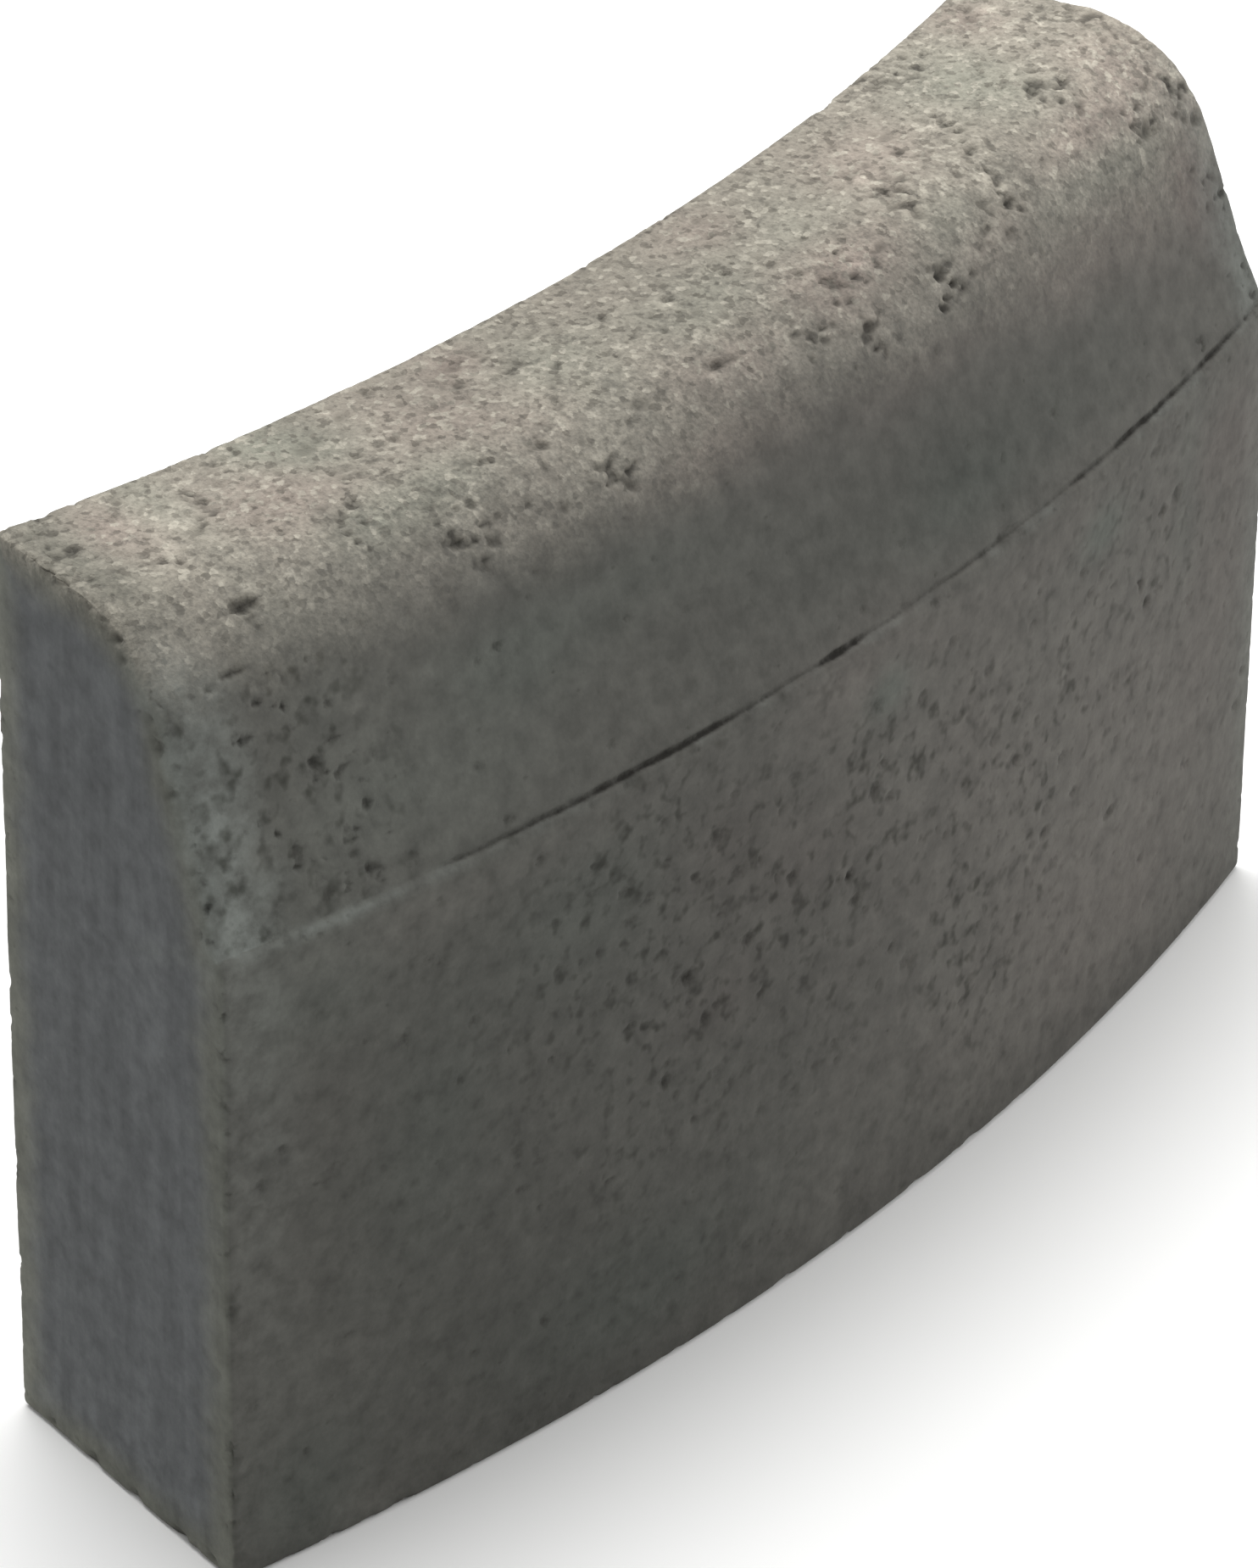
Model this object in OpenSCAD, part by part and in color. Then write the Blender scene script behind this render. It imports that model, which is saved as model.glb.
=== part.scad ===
// Radius kerb stone: one concrete casting, curved in plan, standing on its bed.
// X runs along the stone, -Y is its convex face, Z = 0 is the bed.
// The origin is under the middle of the stone's overall box.

/* [Overall size] */
// Height from the bed to the flat top
kerb_h = 300; // [250:5:360]
// Thickness at the bed, from the concave back to the convex face
kerb_t = 110; // [100:1:150]
// Straight length from end to end across the convex face
kerb_l = 500; // [400:10:780]
// Radius of the convex face in plan
face_r = 1050; // [700:10:3000]

/* [Head] */
// Drop from the flat top to the arris, where the upright face begins
arris_drop = 90; // [80:1:120]
// Width of the flat top, from the back to the start of the nose
flat_w = 43; // [35:1:50]
// Radius of the nose between the flat top and the batter
nose_r = 45; // [35:1:54]
// Width of the sloping ledge that the mould's joint leaves between the arris and the batter
ledge_w = 3; // [0.5:0.5:5]
// Height of that ledge
ledge_rise = 2.5; // [0.5:0.5:5]

/* [Edges] */
// Radius of the long edge between the flat top and the back
back_edge_r = 4; // [1:0.5:8]
// Radius of the two long edges of the bed
bed_edge_r = 3; // [1:0.5:8]

/* [Hidden] */
concrete_colour = [0.46, 0.45, 0.42];

// Segments in a full turn, for the edges and for the long curve in plan
edge_fn = 64;
plan_fn = 720;
// How far a cutter stands past the face that it cuts
overcut = 1;

// The stone's curve in plan
sweep = 2 * asin(kerb_l / 2 / face_r);
back_r = face_r - kerb_t;
plan_centre_y = (face_r + back_r * cos(sweep / 2)) / 2;

// The head's outline in the section, as [distance from the back, height]
arris_h = kerb_h - arris_drop;
batter_foot = [kerb_t - ledge_w, arris_h + ledge_rise];
nose_centre = [flat_w, kerb_h - nose_r];
nose_to_foot = batter_foot - nose_centre;
// Direction from the nose's centre to where the batter runs into the nose
batter_angle = atan2(nose_to_foot[1], nose_to_foot[0]) + acos(nose_r / norm(nose_to_foot));
batter_top = nose_centre + nose_r * [cos(batter_angle), sin(batter_angle)];

// What a rounded edge takes off a square corner at the origin
module corner_waste(radius) {
    difference() {
        translate([-overcut, -overcut])
            square(radius + overcut);
        translate([radius, radius])
            circle(r = radius, $fn = edge_fn);
    }
}

// The stone's outline before its long edges are rounded: X is the distance from the back
module sharp_section() {
    polygon([
        [0, 0],
        [kerb_t, 0],
        [kerb_t, arris_h],
        batter_foot,
        batter_top,
        nose_centre,
        [flat_w, kerb_h],
        [0, kerb_h]
    ]);
    translate(nose_centre)
        intersection() {
            circle(r = nose_r, $fn = 4 * edge_fn);
            square(nose_r + overcut);
        }
}

module section() {
    difference() {
        sharp_section();
        corner_waste(bed_edge_r);
        translate([kerb_t, 0])
            mirror([1, 0])
                corner_waste(bed_edge_r);
        translate([0, kerb_h])
            mirror([0, 1])
                corner_waste(back_edge_r);
    }
}

// The casting: its section swept round the plan radius, with the ends cut square to the curve
module kerb_stone() {
    color(concrete_colour)
        translate([0, plan_centre_y, 0])
            rotate([0, 0, -90 - sweep / 2])
                rotate_extrude(angle = sweep, $fn = plan_fn)
                    translate([back_r, 0])
                        section();
}

kerb_stone();
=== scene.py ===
"""A precast concrete radius kerb stone: one worn, pitted casting, in a plain pale studio.

The stone is worked out in its own unrolled frame, in millimetres: "along" runs round the curve at
mid thickness, "out" runs from the concave back to the convex face, and "up" is the height above
the bed. It is bent round its plan radius at the end, and put in the row frame in metres.
"""
import logging
import math
from dataclasses import dataclass, field
from enum import Enum

import bpy
import numpy as np
from mathutils import Matrix, Vector
from mathutils.kdtree import KDTree


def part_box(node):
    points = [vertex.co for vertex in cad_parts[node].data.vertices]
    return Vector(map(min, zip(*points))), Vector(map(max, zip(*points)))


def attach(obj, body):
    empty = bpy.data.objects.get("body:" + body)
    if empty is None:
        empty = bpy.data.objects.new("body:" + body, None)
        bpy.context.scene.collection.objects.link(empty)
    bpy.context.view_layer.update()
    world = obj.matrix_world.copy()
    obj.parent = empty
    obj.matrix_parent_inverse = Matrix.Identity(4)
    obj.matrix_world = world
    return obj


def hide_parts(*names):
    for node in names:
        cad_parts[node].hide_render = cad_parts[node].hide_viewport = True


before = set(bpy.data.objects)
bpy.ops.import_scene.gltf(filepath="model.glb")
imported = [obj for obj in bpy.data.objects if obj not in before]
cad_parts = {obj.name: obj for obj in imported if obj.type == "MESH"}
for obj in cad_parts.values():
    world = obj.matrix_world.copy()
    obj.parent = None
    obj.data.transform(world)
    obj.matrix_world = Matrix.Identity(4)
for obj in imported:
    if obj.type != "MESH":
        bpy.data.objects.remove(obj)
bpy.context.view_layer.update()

CAD_NODE = "kerb_stone"
BODY = "root"
M_PER_MM = 0.001
FACE_RADIUS_MM = 1050.0
# A girth or a distance from the seam that no mark reaches, for the bed and the back
NOWHERE = 1e4

log = logging.getLogger("kerb")


def smoothstep(low: float, high: float, value: np.ndarray) -> np.ndarray:
    """Eases from 0 at low to 1 at high.

    Args:
        low: Value that gives 0.
        high: Value that gives 1.
        value: Values to ease.

    Returns:
        The eased values.
    """
    t = np.clip((value - low) / (high - low), 0.0, 1.0)
    return t * t * (3.0 - 2.0 * t)


def linear_rgba(hex_code: str) -> tuple[float, float, float, float]:
    """Turns an sRGB hex colour to the linear values that a shader takes.

    Args:
        hex_code: Six hex digits, with or without a leading hash.

    Returns:
        Red, green, blue and an alpha of 1.
    """
    digits = hex_code.lstrip("#")
    channels = [int(digits[i:i + 2], 16) / 255.0 for i in (0, 2, 4)]
    linear = [c / 12.92 if c <= 0.04045 else ((c + 0.055) / 1.055) ** 2.4 for c in channels]
    return (linear[0], linear[1], linear[2], 1.0)


class Noise:
    """Smooth seeded 3-D noise, for relief that has to be the same on every run."""

    def __init__(self, seed: int) -> None:
        """Draws the lattice's shuffled order and its gradients.

        Args:
            seed: Seed of the draws.
        """
        rng = np.random.default_rng(seed)
        order = rng.permutation(256)
        self.order = np.concatenate([order, order, order])
        gradients = rng.normal(size=(256, 3))
        self.gradients = gradients / np.linalg.norm(gradients, axis=1, keepdims=True)

    def at(self, points: np.ndarray) -> np.ndarray:
        """Gives gradient noise of about -1 to 1 at points whose lattice spacing is 1.

        Args:
            points: An array of shape (..., 3).

        Returns:
            The noise, of shape (...).
        """
        cell = np.floor(points).astype(np.int64)
        local = points - cell
        ease = local * local * local * (local * (local * 6.0 - 15.0) + 10.0)
        cell &= 255
        total = np.zeros(points.shape[:-1])
        for dx in (0, 1):
            wx = ease[..., 0] if dx else 1.0 - ease[..., 0]
            ix = self.order[cell[..., 0] + dx]
            for dy in (0, 1):
                wy = ease[..., 1] if dy else 1.0 - ease[..., 1]
                iy = self.order[ix + cell[..., 1] + dy]
                for dz in (0, 1):
                    wz = ease[..., 2] if dz else 1.0 - ease[..., 2]
                    slope = self.gradients[self.order[iy + cell[..., 2] + dz]]
                    step = local - np.array([dx, dy, dz])
                    total += wx * wy * wz * np.einsum("...i,...i->...", slope, step)
        return total * 1.7

    def layers(self, points: np.ndarray, size: float, octaves: int) -> np.ndarray:
        """Adds up octaves of noise, each half as large and half as strong as the last.

        Args:
            points: Places in millimetres.
            size: Size of the largest lumps, in millimetres.
            octaves: Number of octaves.

        Returns:
            Noise of about -1 to 1.
        """
        total = np.zeros(points.shape[:-1])
        strength = 1.0
        reach = 0.0
        for octave in range(octaves):
            total += strength * self.at(points * (2.0 ** octave / size) + 17.3 * octave)
            reach += strength
            strength *= 0.5
        return total / reach


@dataclass(frozen=True)
class Profile:
    """The stone's section and plan curve, in millimetres."""

    height: float
    thickness: float
    face_radius: float
    half_angle: float
    centre_y: float
    arris_drop: float = 90.0
    flat_width: float = 43.0
    nose_radius: float = 45.0
    ledge_width: float = 3.0
    ledge_rise: float = 2.5
    back_edge_radius: float = 4.0
    bed_edge_radius: float = 3.0

    @property
    def arris_height(self) -> float:
        """Height at which the upright face ends."""
        return self.height - self.arris_drop

    @property
    def mid_radius(self) -> float:
        """Plan radius at mid thickness."""
        return self.face_radius - self.thickness / 2.0

    @property
    def half_length(self) -> float:
        """Half of the stone's length along the curve, at mid thickness."""
        return self.half_angle * self.mid_radius

    @property
    def batter_foot(self) -> np.ndarray:
        """Where the batter meets the ledge, as (out, up)."""
        return np.array([self.thickness - self.ledge_width, self.arris_height + self.ledge_rise])

    @property
    def nose_centre(self) -> np.ndarray:
        """Centre of the nose's arc, as (out, up)."""
        return np.array([self.flat_width, self.height - self.nose_radius])

    @property
    def batter_top(self) -> np.ndarray:
        """Where the batter runs into the nose, as (out, up)."""
        turn = np.array([math.cos(self.batter_angle), math.sin(self.batter_angle)])
        return self.nose_centre + self.nose_radius * turn

    @property
    def batter_angle(self) -> float:
        """Direction from the nose's centre to where the batter runs into the nose.

        Returns:
            The angle from level, in radians.
        """
        reach = self.batter_foot - self.nose_centre
        tilt = math.acos(self.nose_radius / float(np.hypot(*reach)))
        return math.atan2(reach[1], reach[0]) + tilt

    @classmethod
    def from_box(cls, low: Vector, high: Vector, face_radius: float) -> "Profile":
        """Works the sizes out from the solid's box and the plan radius of its convex face.

        Args:
            low: Lowest corner in metres.
            high: Highest corner in metres.
            face_radius: Plan radius of the convex face in millimetres.

        Returns:
            The profile.
        """
        size = (high - low) / M_PER_MM
        half_angle = math.asin(size.x / 2.0 / face_radius)
        back_radius = (face_radius - size.y) / math.cos(half_angle)
        return cls(
            height=size.z,
            thickness=face_radius - back_radius,
            face_radius=face_radius,
            half_angle=half_angle,
            centre_y=low.y / M_PER_MM + face_radius,
        )

    def bend(self, points: np.ndarray) -> np.ndarray:
        """Bends (along, out, up) points round the plan curve.

        Args:
            points: Places in the unrolled frame, in millimetres.

        Returns:
            Places in the row frame, in metres.
        """
        angle = points[:, 0] / self.mid_radius
        radius = self.face_radius - self.thickness + points[:, 1]
        bent = np.column_stack([
            radius * np.sin(angle),
            self.centre_y - radius * np.cos(angle),
            points[:, 2],
        ])
        return bent * M_PER_MM


class Zone(Enum):
    """A stretch of the stone's surface."""

    BED = 0
    FACE = 1
    HEAD = 2
    TOP = 3
    BACK = 4
    END = 5


@dataclass(frozen=True)
class Pit:
    """A hole torn or blown in the skin, placed along the stone and down its girth.

    The girth runs from the back of the top, over the nose and down the batter and the face.
    """

    along: float
    girth: float
    radius: float
    depth: float
    # How much painted shade darkens the hole
    dark: float = 0.8
    stretch: float = 1.0


@dataclass(frozen=True)
class Chip:
    """A piece broken from the near end's edge or skin, placed on the section."""

    out: float
    up: float
    radius: float
    depth: float
    # How much painted shade darkens the chip
    dark: float = 0.8


@dataclass(frozen=True)
class Crumbled:
    """A patch where the cement skin has gone and the grit under it stands open."""

    along: float
    girth: float
    radius: float
    strength: float


@dataclass(frozen=True)
class TonePatch:
    """A soft patch that is warmer or greener, and lighter or darker, than what is round it."""

    along: float
    girth: float
    reach_along: float
    reach_girth: float
    warmth: float
    tone: float


@dataclass(frozen=True)
class Spread:
    """How thickly chance pits are strewn over one zone."""

    zone: Zone
    count: int
    smallest: float
    largest: float
    depth: float
    # How much painted shade darkens the strewn pits
    dark: float


@dataclass
class Skin:
    """The dense surface while it is worked: places, normals and what each point shows."""

    points: np.ndarray
    normals: np.ndarray
    zone: np.ndarray
    girth: np.ndarray
    seam: np.ndarray
    end_gap: np.ndarray
    on_side: np.ndarray
    relief: np.ndarray
    shows: dict[str, np.ndarray]


@dataclass
class Blemishes:
    """The marks that this stone carries, in millimetres."""

    pits: tuple[tuple[float, ...], ...] = (
        # Top, near end: along, girth, radius, depth, dark, stretch
        (-200, 68, 2.9, 2.6, 1.0, 1.5), (-210, 43, 2.2, 1.2, 0.8, 1.0),
        (-206, 46, 1.6, 1.0, 0.8, 1.2), (-216, 35, 1.5, 0.8, 0.6, 1.0),
        (-208, 16, 1.8, 0.7, 0.4, 1.3), (-172, 35, 1.3, 0.8, 0.7, 1.2),
        (-168, 35, 1.3, 0.8, 0.7, 1.0), (-174, 51, 1.4, 0.8, 0.6, 1.4),
        (-158, 60, 1.5, 1.0, 0.9, 1.0), (-157, 64, 1.4, 1.0, 0.9, 1.2),
        (-148, 52, 1.5, 1.0, 0.7, 1.3), (-140, 20, 4.2, 0.8, 0.4, 1.2),
        (-131, 33, 1.6, 0.9, 0.7, 1.4), (-122, 32, 1.8, 1.0, 0.6, 1.2),
        (-119, 13, 2.8, 0.9, 0.4, 1.4), (-103, 8, 2.0, 1.0, 0.6, 1.6),
        (-89, 6, 1.8, 1.0, 0.7, 1.3), (-100, 19, 2.4, 0.8, 0.4, 1.6),
        (-122, 49, 1.4, 0.8, 0.6, 1.2), (-105, 57, 1.7, 1.0, 0.8, 1.3),
        (-102, 58, 1.4, 0.9, 0.8, 1.0), (-129, 77, 2.2, 1.5, 0.8, 1.5),
        (-124, 84, 1.8, 1.2, 0.7, 1.5), (-118, 68, 1.9, 1.1, 0.7, 1.2),
        (-123, 67, 1.4, 0.9, 0.7, 1.0), (-102, 75, 1.6, 0.9, 0.6, 1.3),
        (-84, 61, 2.0, 1.2, 0.9, 1.2), (-91, 81, 2.4, 0.9, 0.5, 1.4),
        (-188, 73, 1.6, 0.9, 0.6, 1.3), (-190, 68, 1.5, 0.9, 0.6, 1.0),
        # Top, middle
        (-80, 23, 2.2, 1.2, 0.8, 1.7), (-74, 14, 3.0, 0.9, 0.5, 1.3),
        (-77, 19, 1.3, 0.9, 0.7, 1.0), (-45, 18, 1.8, 0.9, 0.6, 1.5),
        (-37, 12, 2.0, 0.8, 0.5, 1.5), (-21, 26, 1.6, 1.1, 0.8, 1.2), (0, 33, 1.4, 1.0, 0.7, 1.0),
        (-10, 30, 1.3, 0.8, 0.6, 1.0), (-15, 45, 1.6, 1.0, 0.7, 1.2), (-2, 45, 2.4, 0.8, 0.4, 1.8),
        (-52, 48, 1.9, 1.1, 0.7, 1.1), (5, 52, 1.8, 0.9, 0.5, 1.3), (24, 36, 1.8, 0.8, 0.4, 1.2),
        (40, 20, 1.8, 1.0, 0.6, 1.5), (46, 11, 2.2, 0.9, 0.5, 1.5), (37, 44, 2.4, 1.1, 0.6, 1.2),
        (40, 53, 1.9, 1.2, 0.8, 1.5), (57, 54, 1.8, 1.0, 0.8, 1.3), (53, 64, 1.8, 1.2, 0.9, 1.4),
        (40, 68, 1.5, 1.0, 0.8, 1.3), (44, 70, 1.5, 1.0, 0.7, 1.6), (18, 69, 1.4, 1.1, 0.8, 2.4),
        (28, 72, 1.3, 1.1, 0.8, 2.2), (-14, 65, 2.0, 1.1, 0.7, 1.8), (44, 80, 2.2, 1.3, 0.8, 1.2),
        (43, 86, 1.6, 1.3, 0.9, 2.2), (-73, 75, 2.0, 1.2, 0.6, 1.3), (-70, 80, 2.2, 1.2, 0.7, 1.3),
        (-66, 84, 1.8, 1.1, 0.6, 1.4), (-53, 67, 1.7, 0.9, 0.5, 1.4),
        (-47, 64, 2.6, 0.9, 0.5, 1.6), (3, 82, 1.1, 0.8, 0.6, 1.0), (47, 13, 1.4, 0.8, 0.5, 1.2),
        # The deep double void on the nose and what lies round it
        (82, 79, 2.6, 2.4, 1.0, 1.3), (85, 83, 1.8, 1.8, 0.9, 1.2), (76, 88, 2.0, 2.0, 1.0, 1.3),
        (88, 86, 1.8, 1.4, 0.8, 1.4), (94, 84, 1.6, 1.1, 0.7, 1.4), (79, 85, 1.6, 1.4, 0.8, 1.0),
        # Top, far half
        (96, 47, 2.3, 1.2, 0.7, 1.2), (100, 48, 2.0, 1.3, 0.8, 1.3), (90, 52, 2.4, 1.3, 0.7, 1.4),
        (94, 60, 2.4, 1.2, 0.6, 1.3), (97, 67, 2.6, 0.9, 0.4, 1.2), (98, 31, 2.6, 1.0, 0.6, 1.3),
        (85, 29, 2.4, 0.7, 0.3, 1.5), (127, 28, 3.0, 0.8, 0.4, 1.2), (121, 57, 1.7, 1.0, 0.7, 1.2),
        (111, 76, 2.2, 1.0, 0.6, 1.8), (160, 42, 2.2, 0.8, 0.4, 1.3),
        (118, 82, 2.2, 0.9, 0.5, 1.6), (180, 51, 2.1, 1.5, 0.8, 1.3),
        (185, 53, 1.8, 1.3, 0.8, 1.2), (192, 55, 1.7, 1.2, 0.8, 1.3),
        (190, 45, 2.0, 1.0, 0.6, 1.3), (178, 56, 1.7, 1.2, 0.8, 1.2),
        (182, 60, 1.9, 1.2, 0.8, 1.4), (184, 67, 1.9, 1.1, 0.6, 1.4),
        (175, 42, 1.9, 0.8, 0.5, 1.6), (143, 44, 2.3, 1.5, 0.9, 1.4),
        (147, 33, 1.7, 1.1, 0.8, 1.3), (138, 49, 1.8, 1.3, 0.9, 1.2),
        (135, 53, 2.3, 1.5, 0.9, 1.4), (131, 62, 1.8, 1.4, 0.9, 1.0),
        (127, 74, 2.4, 1.7, 1.0, 1.8), (129, 67, 1.6, 1.2, 0.8, 0.8),
        (204, 86, 2.9, 1.7, 0.8, 1.6), (198, 81, 1.7, 1.0, 0.6, 1.2),
        (219, 10, 2.2, 1.2, 0.7, 1.3), (213, 14, 3.2, 1.0, 0.5, 1.2),
        (229, 30, 2.0, 1.0, 0.6, 1.0), (216, 76, 2.4, 1.1, 0.5, 1.3),
        (229, 86, 2.0, 1.3, 0.8, 1.2), (231, 95, 2.6, 1.3, 0.8, 1.4),
        (225, 92, 1.8, 1.0, 0.6, 1.3), (232, 67, 1.6, 1.1, 0.7, 1.0),
        (222, 121, 1.8, 0.9, 0.6, 1.3), (232, 121, 2.2, 1.2, 0.7, 1.0),
        (219, 107, 1.6, 0.9, 0.5, 1.3), (168, 99, 1.6, 0.6, 0.3, 1.2),
        (184, 101, 2.4, 0.6, 0.3, 1.5),
        # Batter, near end
        (-214, 85, 1.5, 0.9, 0.8, 3.2), (-221, 87, 1.9, 1.0, 0.6, 1.2),
        (-216, 104, 2.1, 1.5, 0.9, 1.5), (-209, 95, 1.4, 0.8, 0.6, 1.0),
        (-201, 99, 1.6, 1.1, 0.9, 0.6), (-190, 89, 1.5, 0.8, 0.5, 0.7),
        (-187, 103, 1.7, 0.9, 0.6, 1.3), (-195, 117, 2.5, 1.5, 0.8, 1.2),
        (-196, 122, 1.7, 1.0, 0.6, 1.2), (-212, 132, 1.8, 1.2, 0.7, 0.6),
        (-182, 134, 2.2, 1.3, 0.7, 0.9), (-208, 143, 2.2, 1.2, 0.6, 0.7),
        (-190, 146, 1.8, 1.0, 0.6, 1.2), (-186, 152, 2.8, 1.5, 0.8, 0.9),
        (-145, 138, 2.0, 0.8, 0.4, 1.4), (-129, 108, 1.9, 0.9, 0.6, 1.6),
        (-139, 156, 1.9, 1.0, 0.5, 1.2), (-176, 121, 2.6, 0.7, 0.3, 1.2),
        (-110, 93, 1.9, 0.7, 0.4, 1.0), (-114, 99, 1.8, 0.7, 0.4, 0.8),
        (-217, 128, 1.5, 0.9, 0.5, 0.6), (-165, 104, 2.0, 0.7, 0.4, 1.3),
        (-197, 104, 2.6, 0.6, 0.3, 1.3), (-60, 124, 2.4, 0.6, 0.3, 1.3),
        (-171, 86, 1.8, 0.6, 0.3, 1.4), (-218, 154, 3.0, 0.6, 0.3, 1.3),
        (-172, 153, 1.9, 0.7, 0.4, 1.0),
    )
    face_pits: tuple[tuple[float, ...], ...] = (
        # Upright face: along, up, radius, depth, dark, stretch
        (-74, 133, 2.9, 1.5, 1.0, 1.2), (-73, 124, 2.6, 0.8, 0.5, 0.8),
        (-66, 115, 2.5, 1.3, 0.9, 0.9), (-62, 118, 1.8, 0.9, 0.7, 1.0),
        (-82, 101, 2.4, 1.2, 0.9, 1.2), (-78, 94, 1.5, 0.8, 0.6, 1.0),
        (-4, 133, 2.3, 1.4, 1.0, 1.1), (-9, 135, 1.4, 0.9, 0.7, 1.0),
        (-1, 124, 2.2, 0.8, 0.5, 1.3), (-97, 127, 2.4, 1.0, 0.7, 0.9),
        (-91, 125, 2.0, 0.9, 0.7, 0.8), (-49, 134, 2.2, 1.0, 0.7, 1.5),
        (-44, 129, 1.8, 0.8, 0.5, 1.3), (-43, 112, 2.2, 0.8, 0.6, 0.9),
        (-30, 147, 2.5, 1.1, 0.8, 1.1), (-37, 150, 1.9, 0.8, 0.6, 0.7),
        (-54, 160, 2.4, 0.9, 0.6, 1.3), (-44, 160, 1.6, 0.8, 0.6, 0.6),
        (-61, 149, 1.8, 0.7, 0.5, 1.0), (-86, 146, 2.4, 0.8, 0.6, 1.6),
        (-63, 177, 3.4, 1.0, 0.6, 1.3), (-72, 167, 1.9, 0.8, 0.6, 1.0),
        (-83, 178, 1.9, 0.8, 0.6, 0.7), (-100, 175, 2.0, 0.8, 0.6, 1.5),
        (-97, 164, 1.9, 0.8, 0.6, 1.5), (-91, 168, 1.8, 0.7, 0.5, 1.5),
        (-112, 181, 1.7, 0.7, 0.5, 2.2), (-125, 177, 2.1, 0.8, 0.6, 1.1),
        (-111, 189, 2.1, 0.9, 0.7, 1.2), (-131, 201, 2.0, 0.8, 0.6, 1.0),
        (-84, 192, 2.0, 0.7, 0.5, 1.3), (-124, 160, 2.3, 0.8, 0.6, 1.0),
        (-109, 159, 1.9, 0.7, 0.5, 1.2), (-155, 158, 1.8, 0.7, 0.5, 1.8),
        (-160, 141, 2.0, 0.9, 0.8, 0.9), (-142, 142, 1.6, 0.7, 0.6, 0.5),
        (-179, 163, 2.4, 0.8, 0.6, 1.0), (-167, 182, 2.4, 0.6, 0.4, 1.2),
        (-220, 144, 1.9, 0.8, 0.6, 1.2), (-228, 134, 2.4, 0.8, 0.5, 0.9),
        (-203, 130, 2.8, 0.5, 0.3, 1.5), (-127, 131, 1.7, 0.8, 0.6, 1.0),
        (-103, 144, 1.9, 0.7, 0.5, 1.0), (-140, 106, 2.4, 0.6, 0.4, 1.0),
        (-139, 91, 1.5, 0.7, 0.5, 3.0), (-131, 81, 1.4, 0.7, 0.6, 1.0),
        (-104, 77, 1.5, 0.8, 0.7, 2.0), (-70, 82, 1.9, 0.8, 0.7, 1.2),
        (-55, 87, 2.0, 0.7, 0.5, 1.0), (-84, 78, 1.8, 0.6, 0.5, 1.3),
        (-129, 40, 2.1, 0.8, 0.7, 1.1), (-100, 38, 1.9, 0.5, 0.4, 1.0),
        (-214, 36, 2.1, 0.7, 0.5, 0.7), (-18, 73, 1.6, 0.6, 0.5, 1.4),
        (-9, 77, 1.7, 0.7, 0.5, 1.0), (-8, 70, 1.5, 0.7, 0.5, 1.3), (-14, 119, 2.2, 0.6, 0.4, 0.7),
        (-38, 202, 1.8, 0.7, 0.5, 1.0), (-56, 188, 1.9, 0.6, 0.4, 1.5),
        (-36, 172, 2.1, 0.7, 0.5, 0.8), (-106, 80, 1.3, 0.5, 0.4, 1.0),
        (-189, 80, 2.2, 0.4, 0.2, 1.2), (-171, 66, 2.0, 0.4, 0.2, 1.2),
        (17, 97, 2.2, 0.9, 0.8, 0.9), (24, 88, 2.4, 0.8, 0.6, 1.3), (11, 87, 1.8, 0.7, 0.5, 1.4),
        (7, 158, 3.2, 1.1, 0.7, 0.9), (10, 166, 1.8, 0.8, 0.6, 1.3), (14, 152, 1.8, 0.9, 0.7, 1.4),
        (3, 118, 1.9, 0.8, 0.6, 1.0), (6, 188, 2.4, 0.7, 0.5, 1.3), (28, 180, 2.0, 0.6, 0.4, 1.2),
        (43, 192, 1.9, 0.7, 0.5, 1.6), (53, 176, 1.4, 0.6, 0.5, 0.6),
        (61, 171, 2.1, 0.7, 0.5, 1.0), (64, 163, 1.6, 0.7, 0.6, 1.2),
        (66, 145, 2.3, 0.7, 0.5, 1.3), (86, 176, 2.1, 0.7, 0.6, 1.3),
        (80, 153, 2.3, 0.5, 0.4, 1.2), (107, 149, 2.0, 0.8, 0.6, 1.0),
        (79, 131, 2.5, 1.1, 0.8, 1.3), (43, 124, 2.2, 0.8, 0.5, 0.9),
        (30, 129, 1.6, 0.7, 0.5, 0.8), (38, 128, 1.5, 0.7, 0.6, 0.6), (62, 81, 1.8, 0.8, 0.7, 1.4),
        (73, 60, 4.6, 0.5, 0.4, 1.3), (54, 57, 2.3, 0.7, 0.6, 1.1), (68, 67, 1.7, 0.7, 0.5, 1.4),
        (97, 95, 2.4, 0.9, 0.7, 1.2), (106, 118, 2.0, 0.7, 0.5, 1.5),
        (114, 101, 2.0, 0.7, 0.5, 1.4), (66, 90, 1.4, 0.7, 0.6, 1.8),
        (97, 104, 2.4, 0.6, 0.4, 1.2), (150, 156, 2.2, 1.2, 0.8, 1.2),
        (155, 147, 1.9, 1.2, 0.9, 1.5), (162, 148, 1.5, 0.7, 0.6, 2.0),
        (162, 175, 2.3, 0.9, 0.7, 1.1), (172, 177, 3.0, 0.9, 0.6, 1.1),
        (118, 170, 1.9, 0.7, 0.5, 1.3), (124, 173, 1.6, 0.6, 0.5, 1.2),
        (132, 165, 1.6, 0.6, 0.5, 1.4), (137, 80, 1.7, 0.9, 0.7, 1.8),
        (113, 42, 2.2, 0.6, 0.4, 1.2), (155, 200, 2.2, 0.7, 0.5, 1.4),
        (170, 201, 1.4, 0.7, 0.6, 1.2), (184, 132, 1.9, 0.6, 0.4, 1.3),
        (139, 106, 1.5, 0.6, 0.5, 1.4), (159, 50, 1.9, 0.6, 0.5, 1.5),
        (227, 69, 2.2, 0.9, 0.5, 1.5), (231, 80, 2.0, 1.0, 0.6, 1.3),
        (207, 150, 1.3, 0.7, 0.4, 0.4), (113, 180, 1.9, 0.6, 0.5, 1.2),
        (88, 186, 1.6, 0.6, 0.5, 1.0), (80, 192, 1.6, 0.6, 0.4, 1.5),
    )
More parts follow.
